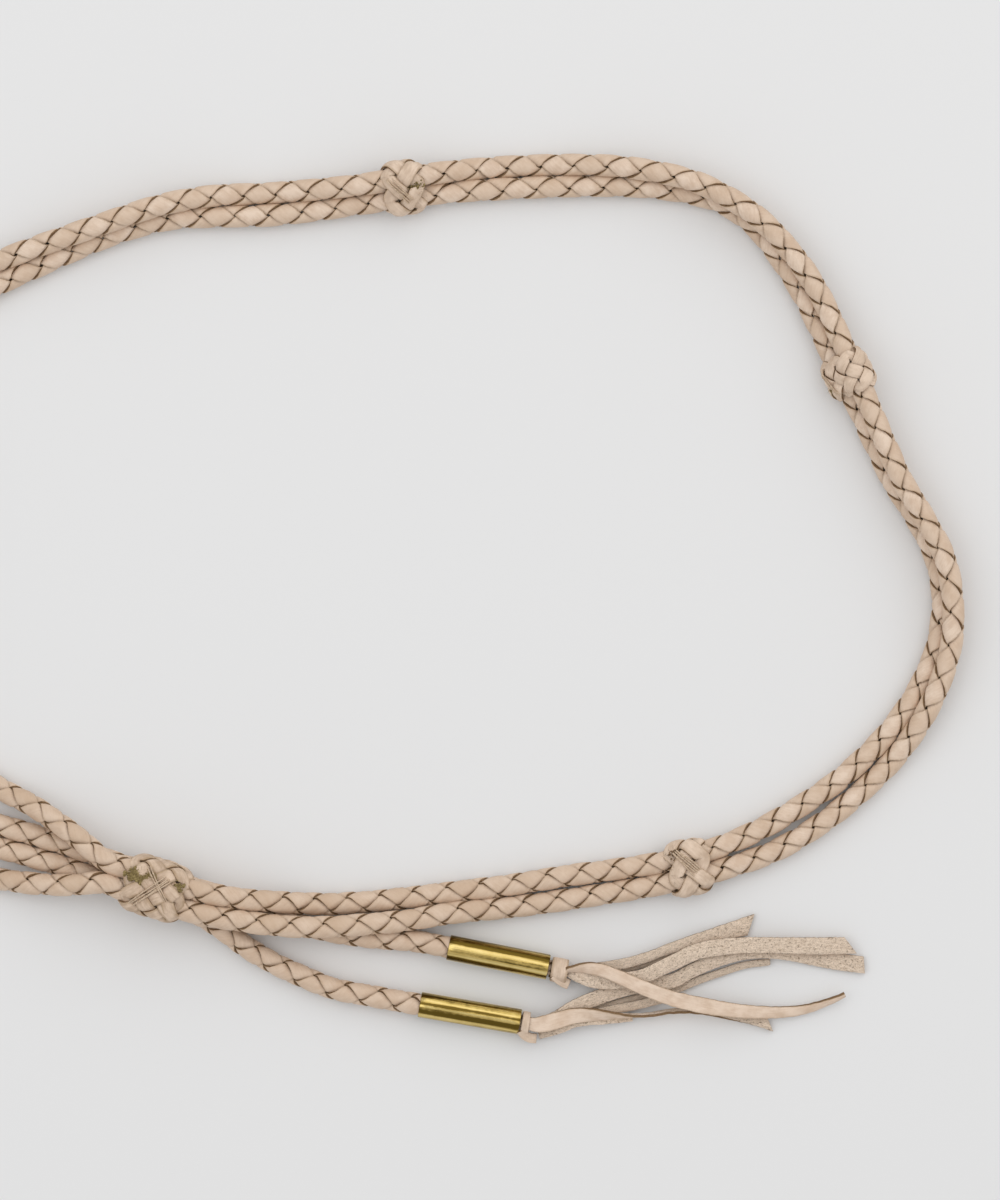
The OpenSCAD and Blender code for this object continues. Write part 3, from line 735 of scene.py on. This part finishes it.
class Bundle:
    """The outline of the cords inside a knot, seen along them: a rounded rectangle whose corners
    turn round the cords' centres, half_y and half_z from the middle. Distances run round it at radius."""

    def __init__(self, half_y, half_z, radius):
        corners = [
            (1, 1, 0), (1, 1, 90), (-1, 1, 90), (-1, 1, 180), (-1, -1, 180), (-1, -1, 270),
            (1, -1, 270), (1, -1, 360), (1, 1, 360),
        ]
        quarter = radius * TAU / 4
        steps = [0] + 2 * [quarter, 2 * half_y, quarter, 2 * half_z]
        self.half_y, self.half_z, self.radius = half_y, half_z, radius
        self.run = np.cumsum(steps)
        self.girth = self.run[-1]
        self.centres = np.array([(y * half_y, z * half_z) for y, z, _ in corners])
        self.angles = np.radians([angle for _, _, angle in corners])

    def place(self, x, around, radius):
        """A point in the knot's own axes: x along the cords, around the outline, radius from it."""
        d = np.mod(around, self.girth)
        angle = np.interp(d, self.run, self.angles)
        y = np.interp(d, self.run, self.centres[:, 0]) + radius * np.cos(angle)
        z = np.interp(d, self.run, self.centres[:, 1]) + radius * np.sin(angle)
        return np.stack(np.broadcast_arrays(x, y, z), axis=-1)

    def top(self, x, y, radius):
        """The point of the upper side that lies over x, y."""
        past = np.maximum(0, np.abs(y) - self.half_y)
        z = self.half_z + np.sqrt(np.maximum(0, radius**2 - past**2))
        return np.stack(np.broadcast_arrays(x, y, z), axis=-1)


class Axes:
    """A piece's own axes in the frame."""

    def __init__(self, origin, x_axis, y_axis):
        self.origin = np.asarray(origin, float)
        self.rows = np.array([x_axis, y_axis, np.cross(x_axis, y_axis)])

    def out(self, points):
        return self.origin + points @ self.rows

    def moved(self, part):
        return Part(self.out(part.rings), part.lay, part.zones, part.loop)


LACE_THICK = 0.0010
TIE_THICK = 0.0009
LACE_RISE = 0.00052
LACE_PLUMP = 0.48
LACE_BEND = 0.93
LACE_STEP = 0.00035


def turks_head(bundle, leads, bights, reach, width, seed, drop=0.0006):
    """One lace woven into a Turk's head round a bundle: it goes round leads times, turns bights times
    at each end, and goes over one and under one. reach is how far its middle line goes each way."""
    count = round(leads * (bundle.girth + 4 * reach * bights / leads) / LACE_STEP)
    turn = np.linspace(0, TAU * leads, count, endpoint=False)
    t = bights / leads * turn
    x = reach * np.arcsin(LACE_BEND * np.cos(t)) / math.asin(LACE_BEND)
    y = bundle.girth * turn / TAU
    dx = (np.roll(x, -1) - np.roll(x, 1)) / 2
    dy = np.full(count, y[1] - y[0])
    size = np.hypot(dx, dy)
    bend = (-dy * (np.roll(x, -1) - 2 * x + np.roll(x, 1)) / size**3)[:, None]
    half = width / 2 * (1 + 0.06 * wobble(turn, seed, 0.4, 1.6))
    ragged = 1 + 0.03 * wobble(turn[:, None] + 20 * np.sign(ACROSS), seed + 1, 3.0, 14.0)
    v = ACROSS * np.where(np.abs(ACROSS) > 0.8, ragged, 1.0)
    offset = v * half[:, None]
    offset = offset / np.sqrt(1 + np.maximum(0, offset * bend) ** 2)
    across_x, across_y = -dy / size, dx / size
    at_x = x[:, None] + offset * across_x[:, None]
    at_y = y[:, None] + offset * across_y[:, None]
    half_turn = np.floor(t / math.pi)[:, None]
    rising = np.mod(half_turn, 2) == 1
    lean = np.where(rising, 1, -1)
    phase = t[:, None] - math.pi * half_turn
    phase_round = bights / leads * TAU / bundle.girth * (at_y - y[:, None])
    phase = phase + 0.5 * (phase_round + lean * math.pi / 2 * (at_x - x[:, None]) / reach)
    wave = np.cos(leads * phase)
    near = math.pi / leads
    wave = np.where(phase < near, -np.sin(leads * phase / 2), wave)
    far = (-1) ** (leads + 1) * np.sin(leads * (math.pi - phase) / 2)
    wave = np.where(phase > math.pi - near, far, wave)
    wave = wave * np.where(rising, -((-1) ** leads), 1)
    over = LACE_RISE * squarish(wave, 1.5) + 0.0001 * wobble(turn, seed + 2, 0.5, 2.0)[:, None]
    radius = bundle.radius + over - drop * (np.abs(at_x) / reach) ** 4 / 2
    radius = radius + HEIGHT * LACE_THICK / 2 * pillow(v, LACE_PLUMP)
    length = np.cumsum(size)
    lay = lay_of(length[:, None], v * width / 2, HEIGHT * LACE_THICK / 2, v.shape)
    return Part(bundle.place(at_x, at_y, radius), lay, ZONES, loop=True)


THREAD_RADIUS = 0.00019
THREAD_TWIST = 0.0011
THREAD_CORNERS = 8


def thread_part(points, seed, radius=THREAD_RADIUS):
    """Two-ply waxed thread along a few points."""
    line = Line(points, 0.0002)
    angle = np.arange(THREAD_CORNERS) * TAU / THREAD_CORNERS
    s = line.run[:, None]
    size = radius * (1 + 0.16 * np.cos(2 * (angle - TAU * s / THREAD_TWIST / 2)))
    size = size * (1 + 0.05 * wobble(s / MM, seed, 1.0, 4.0))
    rings = line.at[:, None] + (size * np.cos(angle))[..., None] * line.side[:, None]
    rings = rings + (size * np.sin(angle))[..., None] * line.up[:, None]
    lay = lay_of(s + 2 * (angle * radius), angle * radius, 0, rings.shape[:2])
    return Part(rings, lay, np.zeros(THREAD_CORNERS, int))


def stitches(bundle, start, end, count, pitch, seed):
    """Parallel threads over the top of a knot from start to end, their ends sunk into the lace."""
    start, end = np.array(start), np.array(end)
    direction = unit(end - start)
    beside = np.array([-direction[1], direction[0]])
    parts = []
    for number in range(count):
        share = np.linspace(0, 1, 7)
        shift = (number - (count - 1) / 2) * pitch
        own = seed + number
        spread = 1 + 0.4 * wobble(share * 3, own, 0.5, 2.0)
        plan = start + (end - start) * share[:, None] + beside * (shift * spread)[:, None]
        sunk = np.interp(share, [0, 0.14, 0.86, 1], [-0.0009, 0.0001, 0.0001, -0.0009])
        height = bundle.radius + LACE_RISE + LACE_THICK / 2 + THREAD_RADIUS + sunk
        parts.append(thread_part(bundle.top(plan[:, 0], plan[:, 1], height), own))
    return parts


def fray(places, directions, seed, length, radius=0.00005):
    """Loose fibres: thin, bent and tapering, one from each place."""
    random = np.random.default_rng(seed)
    parts = []
    for place, direction in zip(places, directions):
        reach = length * random.uniform(0.5, 1.3)
        bend = random.normal(0, 0.45, 3)
        share = np.linspace(0, 1, 6)[:, None]
        middle = place + direction * reach * share + bend * reach * share**2 * 0.8
        angle = np.arange(3) * TAU / 3
        ring = np.stack([np.cos(angle), np.sin(angle), 0 * angle], axis=-1)
        size = radius * (1.1 - share)[..., None]
        rings = middle[:, None] + size * ring
        rings[..., 2] = np.maximum(rings[..., 2], 0.00005)
        lay = lay_of(share * reach, 0, 0, rings.shape[:2])
        parts.append(Part(rings, lay, np.zeros(3, int)))
    return parts


def crumbs(bundle, axes, middle, spread, count, seed, size):
    """Bumpy grains of dried residue round one place on top of a knot."""
    random = np.random.default_rng(seed)
    plan = np.array(middle) + random.normal(0, 1, (count, 2)) * np.array(spread)
    spots = bundle.top(plan[:, 0], plan[:, 1], bundle.radius + LACE_THICK / 2)
    tilt = np.linspace(-1.35, 1.35, 6)
    angle = np.arange(8) * TAU / 8
    parts = []
    for spot in spots:
        reach = size * random.uniform(0.45, 1.25) * (1 + 0.22 * random.normal(0, 1, (6, 8)))
        flat = random.uniform(0.4, 0.7)
        rings = np.stack([
            reach * np.cos(tilt)[:, None] * np.cos(angle), reach * np.cos(tilt)[:, None] * np.sin(angle),
            flat * reach * np.sin(tilt)[:, None],
        ], axis=-1)
        lay = lay_of(rings[..., 0] + random.uniform(0, 0.05), rings[..., 1], rings[..., 2], reach.shape)
        parts.append(axes.moved(Part(rings + spot, lay, np.zeros(8, int))))
    return parts


def fray_spots(bundle, axes, middle, spread, count, seed, length):
    """Fibres that stand up round one place on top of a knot."""
    random = np.random.default_rng(seed)
    plan = np.array(middle) + random.normal(0, 1, (count, 2)) * np.array(spread)
    spots = bundle.top(plan[:, 0], plan[:, 1], bundle.radius + LACE_THICK / 3)
    ways = unit(random.normal(0, 1, (count, 3)) * (1, 1, 0.5) + (0, 0, 0.5))
    return [axes.moved(part) for part in fray(spots, ways, seed, length)]


def strip_rings(at, across, outward, v, half, thick, plump=0.25):
    rings = at[:, None] + across[:, None] * (v * half)[..., None]
    return rings + outward[:, None] * (HEIGHT * thick / 2 * pillow(v, plump))[..., None]


def ribbon(points, width, seed):
    """A short flat strip along a few points."""
    line = Line(points, 0.0003)
    v = np.broadcast_to(ACROSS, (len(line.run), len(ACROSS)))
    half = width / 2 * (1 + 0.06 * wobble(line.run / MM, seed, 0.3, 1.5))
    rings = strip_rings(line.at, line.side, line.up, v, half[:, None], TIE_THICK)
    lay = lay_of(line.run[:, None] + seed, v * width / 2, HEIGHT * TIE_THICK / 2, v.shape)
    return Part(rings, lay, ZONES)


lace_grain = grain_leather("knot_lace_grain", (0.79, 0.62, 0.48), (0.60, 0.45, 0.33), 0.54, 1.82)
worn_grain = grain_leather("worn_lace_grain", (0.73, 0.56, 0.42), (0.50, 0.36, 0.25), 0.54, 1.42)
olive = fibre_material("olive_residue", OLIVE_PALE, OLIVE_DEEP)
burnt = fibre_material("frayed_end", (0.30, 0.19, 0.105), (0.09, 0.05, 0.025))
fibre = fibre_material("loose_fibre", (0.66, 0.56, 0.44), (0.40, 0.29, 0.19))

KEEPER_RADIUS = 0.00365
# Where dried residue sits on each keeper knot, in its own plan
KEEPER_RESIDUE = {
    1: (-0.0030, 0.0042), 2: (-0.002, 0.0038), 3: (-0.0028, -0.0018),
    4: (0.002, -0.001), 5: (-0.002, 0.002),
}


def keeper_place(number):
    """Where keeper knot number sits: its axes, X along the cords and Y to the inner one."""
    i = KEEPER_AT[number - 1]
    inner, outer = lane(-1)[i] + LAY_SHIFT, lane(1)[i] + LAY_SHIFT
    plan = np.array(LOOP)[:, :2]
    x_axis = np.append(unit(plan[i + 1] - plan[i - 1]), 0)
    return Axes((inner + outer) / 2, x_axis, unit(inner - outer))


# Each keeper knot: leads, bights, reach, lace width, and its stitches as start, end and count in the
# knot's own plan, X along the cords and Y towards the inner one
KEEPERS = {
    1: (3, 5, 0.0038, 0.0037, [((-0.0026, 0.0050), (0.0022, -0.0019), 5)]),
    2: (4, 7, 0.0040, 0.0029, [((-0.004, 0.001), (0.0035, 0.004), 2)]),
    3: (3, 5, 0.0036, 0.0038, [((0.0036, -0.0046), (-0.0020, 0.0024), 4)]),
    4: (3, 5, 0.0038, 0.0037, [((0.0040, -0.0040), (-0.0020, 0.0020), 3)]),
    5: (4, 7, 0.0040, 0.0029, [((-0.004, -0.002), (0.0035, 0.003), 3)]),
}
for number, (leads, bights, reach, width, sewn) in KEEPERS.items():
    bundle = Bundle(PAIR_PITCH / 2, 0, KEEPER_RADIUS)
    axes = keeper_place(number)
    seed = 100 * number
    woven = axes.moved(turks_head(bundle, leads, bights, reach, width, seed))
    make_piece(
        f"keeper_weave_{number}", [woven], [lace_grain, edge, flesh], "belt",
        [f"keeper_knot_{number}"],
    )
    threads = []
    for start, end, count in sewn:
        threads += [axes.moved(part) for part in stitches(bundle, start, end, count, 0.0005, seed)]
    make_piece(
        f"keeper_threads_{number}", threads, [thread], "belt", [f"keeper_stitch_{number}"]
    )
    loose = fray_spots(bundle, axes, (-0.0035, 0.0), (0.0012, 0.0012), 26, seed + 50, 0.0016)
    make_piece(f"keeper_fibres_{number}", loose, [fibre], "belt")
    dried = crumbs(bundle, axes, KEEPER_RESIDUE[number], (0.0009, 0.0006), 22, seed + 60, 0.00028)
    dried += fray_spots(bundle, axes, KEEPER_RESIDUE[number], (0.001, 0.0006), 50, seed + 61, 0.0009)
    residue = olive if number in (2, 3) else burnt
    make_piece(f"keeper_residue_{number}", dried, [residue], "belt")

SLIDER_RADIUS = 0.00375
# How far along the cords the woven knot's middle lies from its plain core's
SLIDER_SHIFT = 0.0019

along, left = heading_of(SLIDER_TURN)
slider_axes = Axes(np.array([*SLIDER_MID, SLIDER_Z]) + LAY_SHIFT + SLIDER_SHIFT * along, along, left)
bundle = Bundle(PAIR_PITCH / 2, PAIR_PITCH / 2, SLIDER_RADIUS)
woven = slider_axes.moved(turks_head(bundle, 5, 9, 0.0066, 0.0034, 700, 0.0014))
# The two cut ends of its lace lie on top: width, and points in the knot's own axes
LACE_ENDS = [
    (0.0031, [
        (0.0022, 0.0014, 0.0064), (0.0033, 0.0010, 0.0074),
        (0.0045, 0.0003, 0.0076), (0.0058, -0.0005, 0.0071),
    ]),
    (0.0032, [
        (0.0034, -0.0012, 0.0064), (0.0046, -0.0029, 0.0070),
        (0.0057, -0.0046, 0.0058), (0.0066, -0.0058, 0.0038),
    ]),
]
lace_ends = [ribbon(points, width, 760 + n) for n, (width, points) in enumerate(LACE_ENDS)]
woven_parts = [woven, *(slider_axes.moved(part) for part in lace_ends)]
make_piece(
    "sliding_knot_weave", woven_parts, [worn_grain, edge, flesh], "slider", ["sliding_knot"]
)
# Its two crossed runs of thread: start and end in the knot's own plan, threads, pitch and seed
SLIDER_SEWN = [
    ((-0.0048, -0.0058), (0.0034, 0.0045), 4, 0.00056, 720),
    ((-0.0034, 0.0053), (0.0041, -0.0023), 2, 0.00058, 730),
]
sewn = [part for run in SLIDER_SEWN for part in stitches(bundle, *run)]
make_piece(
    "sliding_knot_threads", [slider_axes.moved(part) for part in sewn], [thread], "slider",
    ["sliding_knot_stitch"],
)
# Its dried residue: middle and spread in the knot's own plan, grains, seed and size of grain
SLIDER_CRUMBS = [
    ((-0.0054, 0.0021), (0.0010, 0.0006), 190, 740, 0.00040),
    ((-0.0022, 0.0022), (0.0013, 0.0007), 260, 741, 0.00040),
    ((0.0056, 0.0025), (0.0006, 0.0006), 50, 742, 0.00036),
]
dried = [grain for heap in SLIDER_CRUMBS for grain in crumbs(bundle, slider_axes, *heap)]
dried += fray_spots(bundle, slider_axes, (-0.0038, 0.0022), (0.0020, 0.0009), 190, 743, 0.0010)
make_piece("sliding_knot_residue", dried, [olive], "slider")

# ---- Brass tubes -------------------------------------------------------------------------------

TUBE_SIDES = 72
TUBE_BEVEL = 0.00018
TUBE_DENT = 0.000008
# How far round each tube its painted bands of reflection and shade are turned, along with its tarnish, in
# metres along its skin
TUBE_PAINTED_REFLECTION_TURN = {"right_inner": 0.0060, "right_outer": 0.0026, "left_inner": 0.0045, "left_outer": 0.0070}


def brass_tube(tail):
    """A thin drawn tube with softened rims, a little out of round."""
    half, outer, bore = TUBE_LENGTH / 2, TUBE_OUTER / 2, TUBE_BORE / 2
    stations = np.linspace(-half + TUBE_BEVEL, half - TUBE_BEVEL, 16)
    profile = [(-half, (outer + bore) / 2), (-half + 0.00006, outer - 0.00007)]
    profile += [(x, outer) for x in stations]
    profile += [(half - 0.00006, outer - 0.00007), (half, (outer + bore) / 2)]
    profile += [(half - 0.00006, bore + 0.00007)]
    profile += [(x, bore) for x in stations[::-1]]
    profile += [(-half + 0.00006, bore + 0.00007)]
    x, r = np.array(profile).T
    angle = (np.arange(TUBE_SIDES) * TAU / TUBE_SIDES)[:, None]
    dents = TUBE_DENT * wobble(x / MM * 0.35 + 3 * np.sin(angle), len(tail), 0.3, 1.2)
    size = r + dents - TUBE_DENT
    rings = np.stack([np.broadcast_to(x, size.shape), size * np.cos(angle), size * np.sin(angle)], axis=-1)
    lay = lay_of(x, angle * outer + TUBE_PAINTED_REFLECTION_TURN[tail], r - bore, size.shape)
    return Part(rings, lay, np.zeros(len(x), int), loop=True)


def tail_axes(tail):
    along, left = heading_of(TUBES[tail][1])
    return Axes(tail_point(tail, 0) + LAY_SHIFT, along, left)


for tail in TUBES:
    tube = tail_axes(tail).moved(brass_tube(tail))
    make_piece(f"tube_{tail}_drawn", [tube], [brass], f"tube_{tail}", [f"tube_{tail}"])

# ---- Ties and loose strands --------------------------------------------------------------------

TIE_RADIUS = 0.00240


def tie_band(start_x, width, turns, start_angle, lean, seed):
    """A strip wound round the strands: from start_angle in degrees, growing as it covers itself."""
    angle = math.radians(start_angle) + np.linspace(0, TAU * turns, round(90 * turns))
    share = np.linspace(0, 1, len(angle))
    radius = TIE_RADIUS + TIE_THICK * 1.02 * np.clip((share * turns - 0.86) * 6, 0, 1)
    radius = radius + 0.00008 * wobble(angle, seed, 0.6, 2.0)
    x = start_x + width / 2 + lean * (share - 0.5) + 0.0001 * wobble(angle, seed + 1, 0.5, 1.5)
    outward = np.stack([0 * angle, np.cos(angle), np.sin(angle)], axis=-1)
    at = outward * radius[:, None] + np.stack([x, 0 * x, 0 * x], axis=-1)
    forward = unit(np.gradient(at, axis=0))
    across = np.cross(outward, forward)
    v = np.broadcast_to(ACROSS, (len(angle), len(ACROSS)))
    half = width / 2 * (1 + 0.04 * wobble(angle, seed + 2, 0.6, 2.2))
    rings = strip_rings(at, across, outward, v, half[:, None], TIE_THICK)
    lay = lay_of((angle * TIE_RADIUS)[:, None], v * width / 2, HEIGHT * TIE_THICK / 2, v.shape)
    return Part(rings, lay, ZONES)


# Each tie: bands as start beyond the tube, width, turns, start angle and lean
TIES = {
    "right_inner": [(0.0004, 0.0042, 1.12, 200, 0.0004)],
    "right_outer": [(0.0001, 0.0019, 1.10, 215, 0.0005)],
    "left_inner": [(0.0002, 0.0040, 1.12, 160, 0.0004)],
    "left_outer": [(0.0002, 0.0041, 1.12, 190, -0.0003)],
}
# The tucked end of each tie: width, then points from the end of the tube, in the tail's own axes
TUCKS = {
    "right_inner": (0.0025, [
        (0.0014, -0.0014, 0.0018), (0.0026, -0.0023, 0.0010),
        (0.0041, -0.0029, 0.0003), (0.0055, -0.0032, -0.0002),
    ]),
    "right_outer": (0.0025, [
        (0.0003, -0.0018, 0.0018), (0.0012, -0.0029, 0.0008),
        (0.0028, -0.0035, 0.0002), (0.0044, -0.0034, 0.0000),
    ]),
    "left_inner": (0.0026, [
        (0.0014, 0.0012, 0.0022), (0.0026, 0.0026, 0.0012),
        (0.0042, 0.0034, 0.0004), (0.0060, 0.0038, -0.0006),
    ]),
    "left_outer": (0.0026, [
        (0.0014, -0.0012, 0.0022), (0.0028, -0.0026, 0.0010),
        (0.0044, -0.0033, 0.0003), (0.0060, -0.0036, -0.0004),
    ]),
}
# The lower right tie's own strip runs on beside the strands, flesh side up
TIE_REST = [
    (0.0098, -0.1086, 0.0014), (0.0145, -0.1072, 0.0030), (0.0190, -0.1054, 0.0036),
    (0.0260, -0.1048, 0.0026), (0.0330, -0.1042, 0.0008),
]
for seed, (tail, bands) in enumerate(TIES.items(), 800):
    axes = tail_axes(tail)
    start = TUBE_LENGTH / 2 + TIE_GAP
    parts = [
        axes.moved(tie_band(start + x, width, turns, angle, lean, seed * 10 + n))
        for n, (x, width, turns, angle, lean) in enumerate(bands)
    ]
    width, points = TUCKS[tail]
    parts.append(axes.moved(ribbon(np.array(points) + (start, 0, 0), width, seed)))
    if tail == "right_outer":
        rest = ribbon(np.array(TIE_REST) + LAY_SHIFT, 0.0021, seed + 10)
        rest.zones = np.choose(rest.zones, [FLESH, EDGE, GRAIN])
        parts.append(rest)
    make_piece(
        f"tie_{tail}_strip", parts, [lace_grain, edge, flesh], "belt", [f"tie_{tail}"]
    )

STRAND_WIDTH = 0.0044
STRAND_THICK = 0.00105
# Which face of each strand lies upwards, and how its end is cut: the slope across its width
SUEDE_UP, GRAIN_UP = False, True
STRAND_CUTS = {
    "right_inner": [(SUEDE_UP, -0.3), (SUEDE_UP, 0.7), (SUEDE_UP, -0.75), (GRAIN_UP, 0.15)],
    "right_outer": [(SUEDE_UP, 0.1), (SUEDE_UP, 0.5), (SUEDE_UP, -0.2), (GRAIN_UP, 0.85)],
    "left_inner": [(SUEDE_UP, 0.3), (GRAIN_UP, -0.4), (SUEDE_UP, 0.5), (GRAIN_UP, -0.2)],
    "left_outer": [(SUEDE_UP, -0.4), (SUEDE_UP, 0.3), (GRAIN_UP, 0.2), (SUEDE_UP, -0.6)],
}


# Each strand's share of the full width at its start, middle and end
STRAND_SHARES = {
    "right_inner": [(0.5, 0.5, 0.5), (0.6, 0.6, 1.1), (0.9, 0.97, 0.98), (0.72, 0.95, 0.42)],
    "right_outer": [(0.6, 0.5, 0.4), (0.55, 0.55, 0.55), (0.9, 0.85, 0.98), (1.0, 0.9, 0.9)],
    "left_inner": [(1, 1, 1), (0.9, 1, 1), (1, 0.9, 1), (1, 1, 0.9)],
    "left_outer": [(1, 1, 1), (0.9, 1, 0.9), (1, 1, 1), (1, 0.9, 1)],
}
# How far each right inner strand is turned up on edge where it leaves the tie, in degrees
ROOT_TURN = {"strand_right_inner_4": 62, "strand_right_inner_2": 40, "strand_right_inner_1": 30}
ROOT_TURN_LENGTH = 0.011
# How far beyond its tube each tail's strands begin, inside the tie
ROOT_IN_TIE = {"right_inner": 0.0045, "right_outer": 0.0012, "left_inner": 0.0034, "left_outer": 0.0034}


def strand(line, grain_up, cut, shares, turn, seed):
    """A loose strip: slightly cupped and uneven, narrower where the tie grips it, cut off at a slope."""
    s = line.run
    eased = np.clip(s / ROOT_TURN_LENGTH, 0, 1)
    roll = np.radians(line.rest[:, 0] + turn * (1 - eased**2 * (3 - 2 * eased)))
    across = np.cos(roll)[:, None] * line.side + np.sin(roll)[:, None] * line.up
    outward = -np.sin(roll)[:, None] * line.side + np.cos(roll)[:, None] * line.up
    half = STRAND_WIDTH / 2 * (0.95 + 0.05 * wobble(s / MM, seed, 0.05, 0.3))
    half = half * np.interp(s, [0, line.length / 2, line.length], shares)
    half = half * np.interp(s, [0, 0.003, 0.006], [0.62, 0.9, 1.0])
    ragged = 1 + 0.03 * wobble(s[:, None] / MM + 50 * np.sign(ACROSS), seed + 1, 0.8, 6.0)
    v = ACROSS * np.where(np.abs(ACROSS) > 0.8, ragged, 1.0)
    rings = strip_rings(line.at, across, outward, v, half[:, None], STRAND_THICK, 0.2)
    cup = 0.00022 * wobble(s / MM, seed + 2, 0.04, 0.25)[:, None] * (v**2 - 0.3)
    ripple = 0.00005 * wobble(s[:, None] / MM + 3 * v, seed + 3, 0.5, 2.5)
    rings = rings + outward[:, None] * (cup + ripple)[..., None]
    near_end = np.clip((s - line.length + 0.004) / 0.004, 0, 1) ** 1.5
    slope = cut * v * half[:, None] * near_end[:, None]
    rings = rings + line.along[:, None] * slope[..., None]
    rings[..., 2] = np.maximum(rings[..., 2], 0.00004)
    zones = ZONES if grain_up else np.choose(ZONES, [FLESH, EDGE, GRAIN])
    lay = lay_of(s[:, None] + seed * 0.01, v * STRAND_WIDTH / 2, HEIGHT * STRAND_THICK / 2, v.shape)
    return Part(rings, lay, zones)


for tail, routes in STRANDS.items():
    root = tail_point(tail, TUBE_LENGTH / 2 + TIE_GAP + ROOT_IN_TIE[tail])
    for n, route in enumerate(routes):
        seed = 900 + 20 * n + 100 * list(STRANDS).index(tail)
        grain_up, cut = STRAND_CUTS[tail][n]
        sunk = TUBE_OUTER / 2 + 0.75 * (route[0][2] - TUBE_OUTER / 2)
        points = np.array([(root[0], root[1], sunk, route[0][3]), *route])
        points[:, :3] += LAY_SHIFT
        line = Line(points)
        name = f"strand_{tail}_{n + 1}"
        shares = STRAND_SHARES[tail][n]
        strip = strand(line, grain_up, cut, shares, ROOT_TURN.get(name, 0), seed)
        piece = make_piece(
            name + "_strip", [strip], [strand_grain, edge, flesh], "belt", [name]
        )

# ---- Floor, and the end ------------------------------------------------------------------------

FLOOR_HALF = 2.5
# Just below the belt, so that the two never share a surface
FLOOR_Z = -0.00005


def make_floor():
    corners = [(-1, -1), (1, -1), (1, 1), (-1, 1)]
    points = [(x * FLOOR_HALF, y * FLOOR_HALF, FLOOR_Z) for x, y in corners]
    mesh = bpy.data.meshes.new("floor")
    mesh.from_pydata(points, [], [(0, 1, 2, 3)])
    mesh.materials.append(floor_paper("floor_paper"))
    floor = bpy.data.objects.new("floor", mesh)
    bpy.context.scene.collection.objects.link(floor)


make_floor()
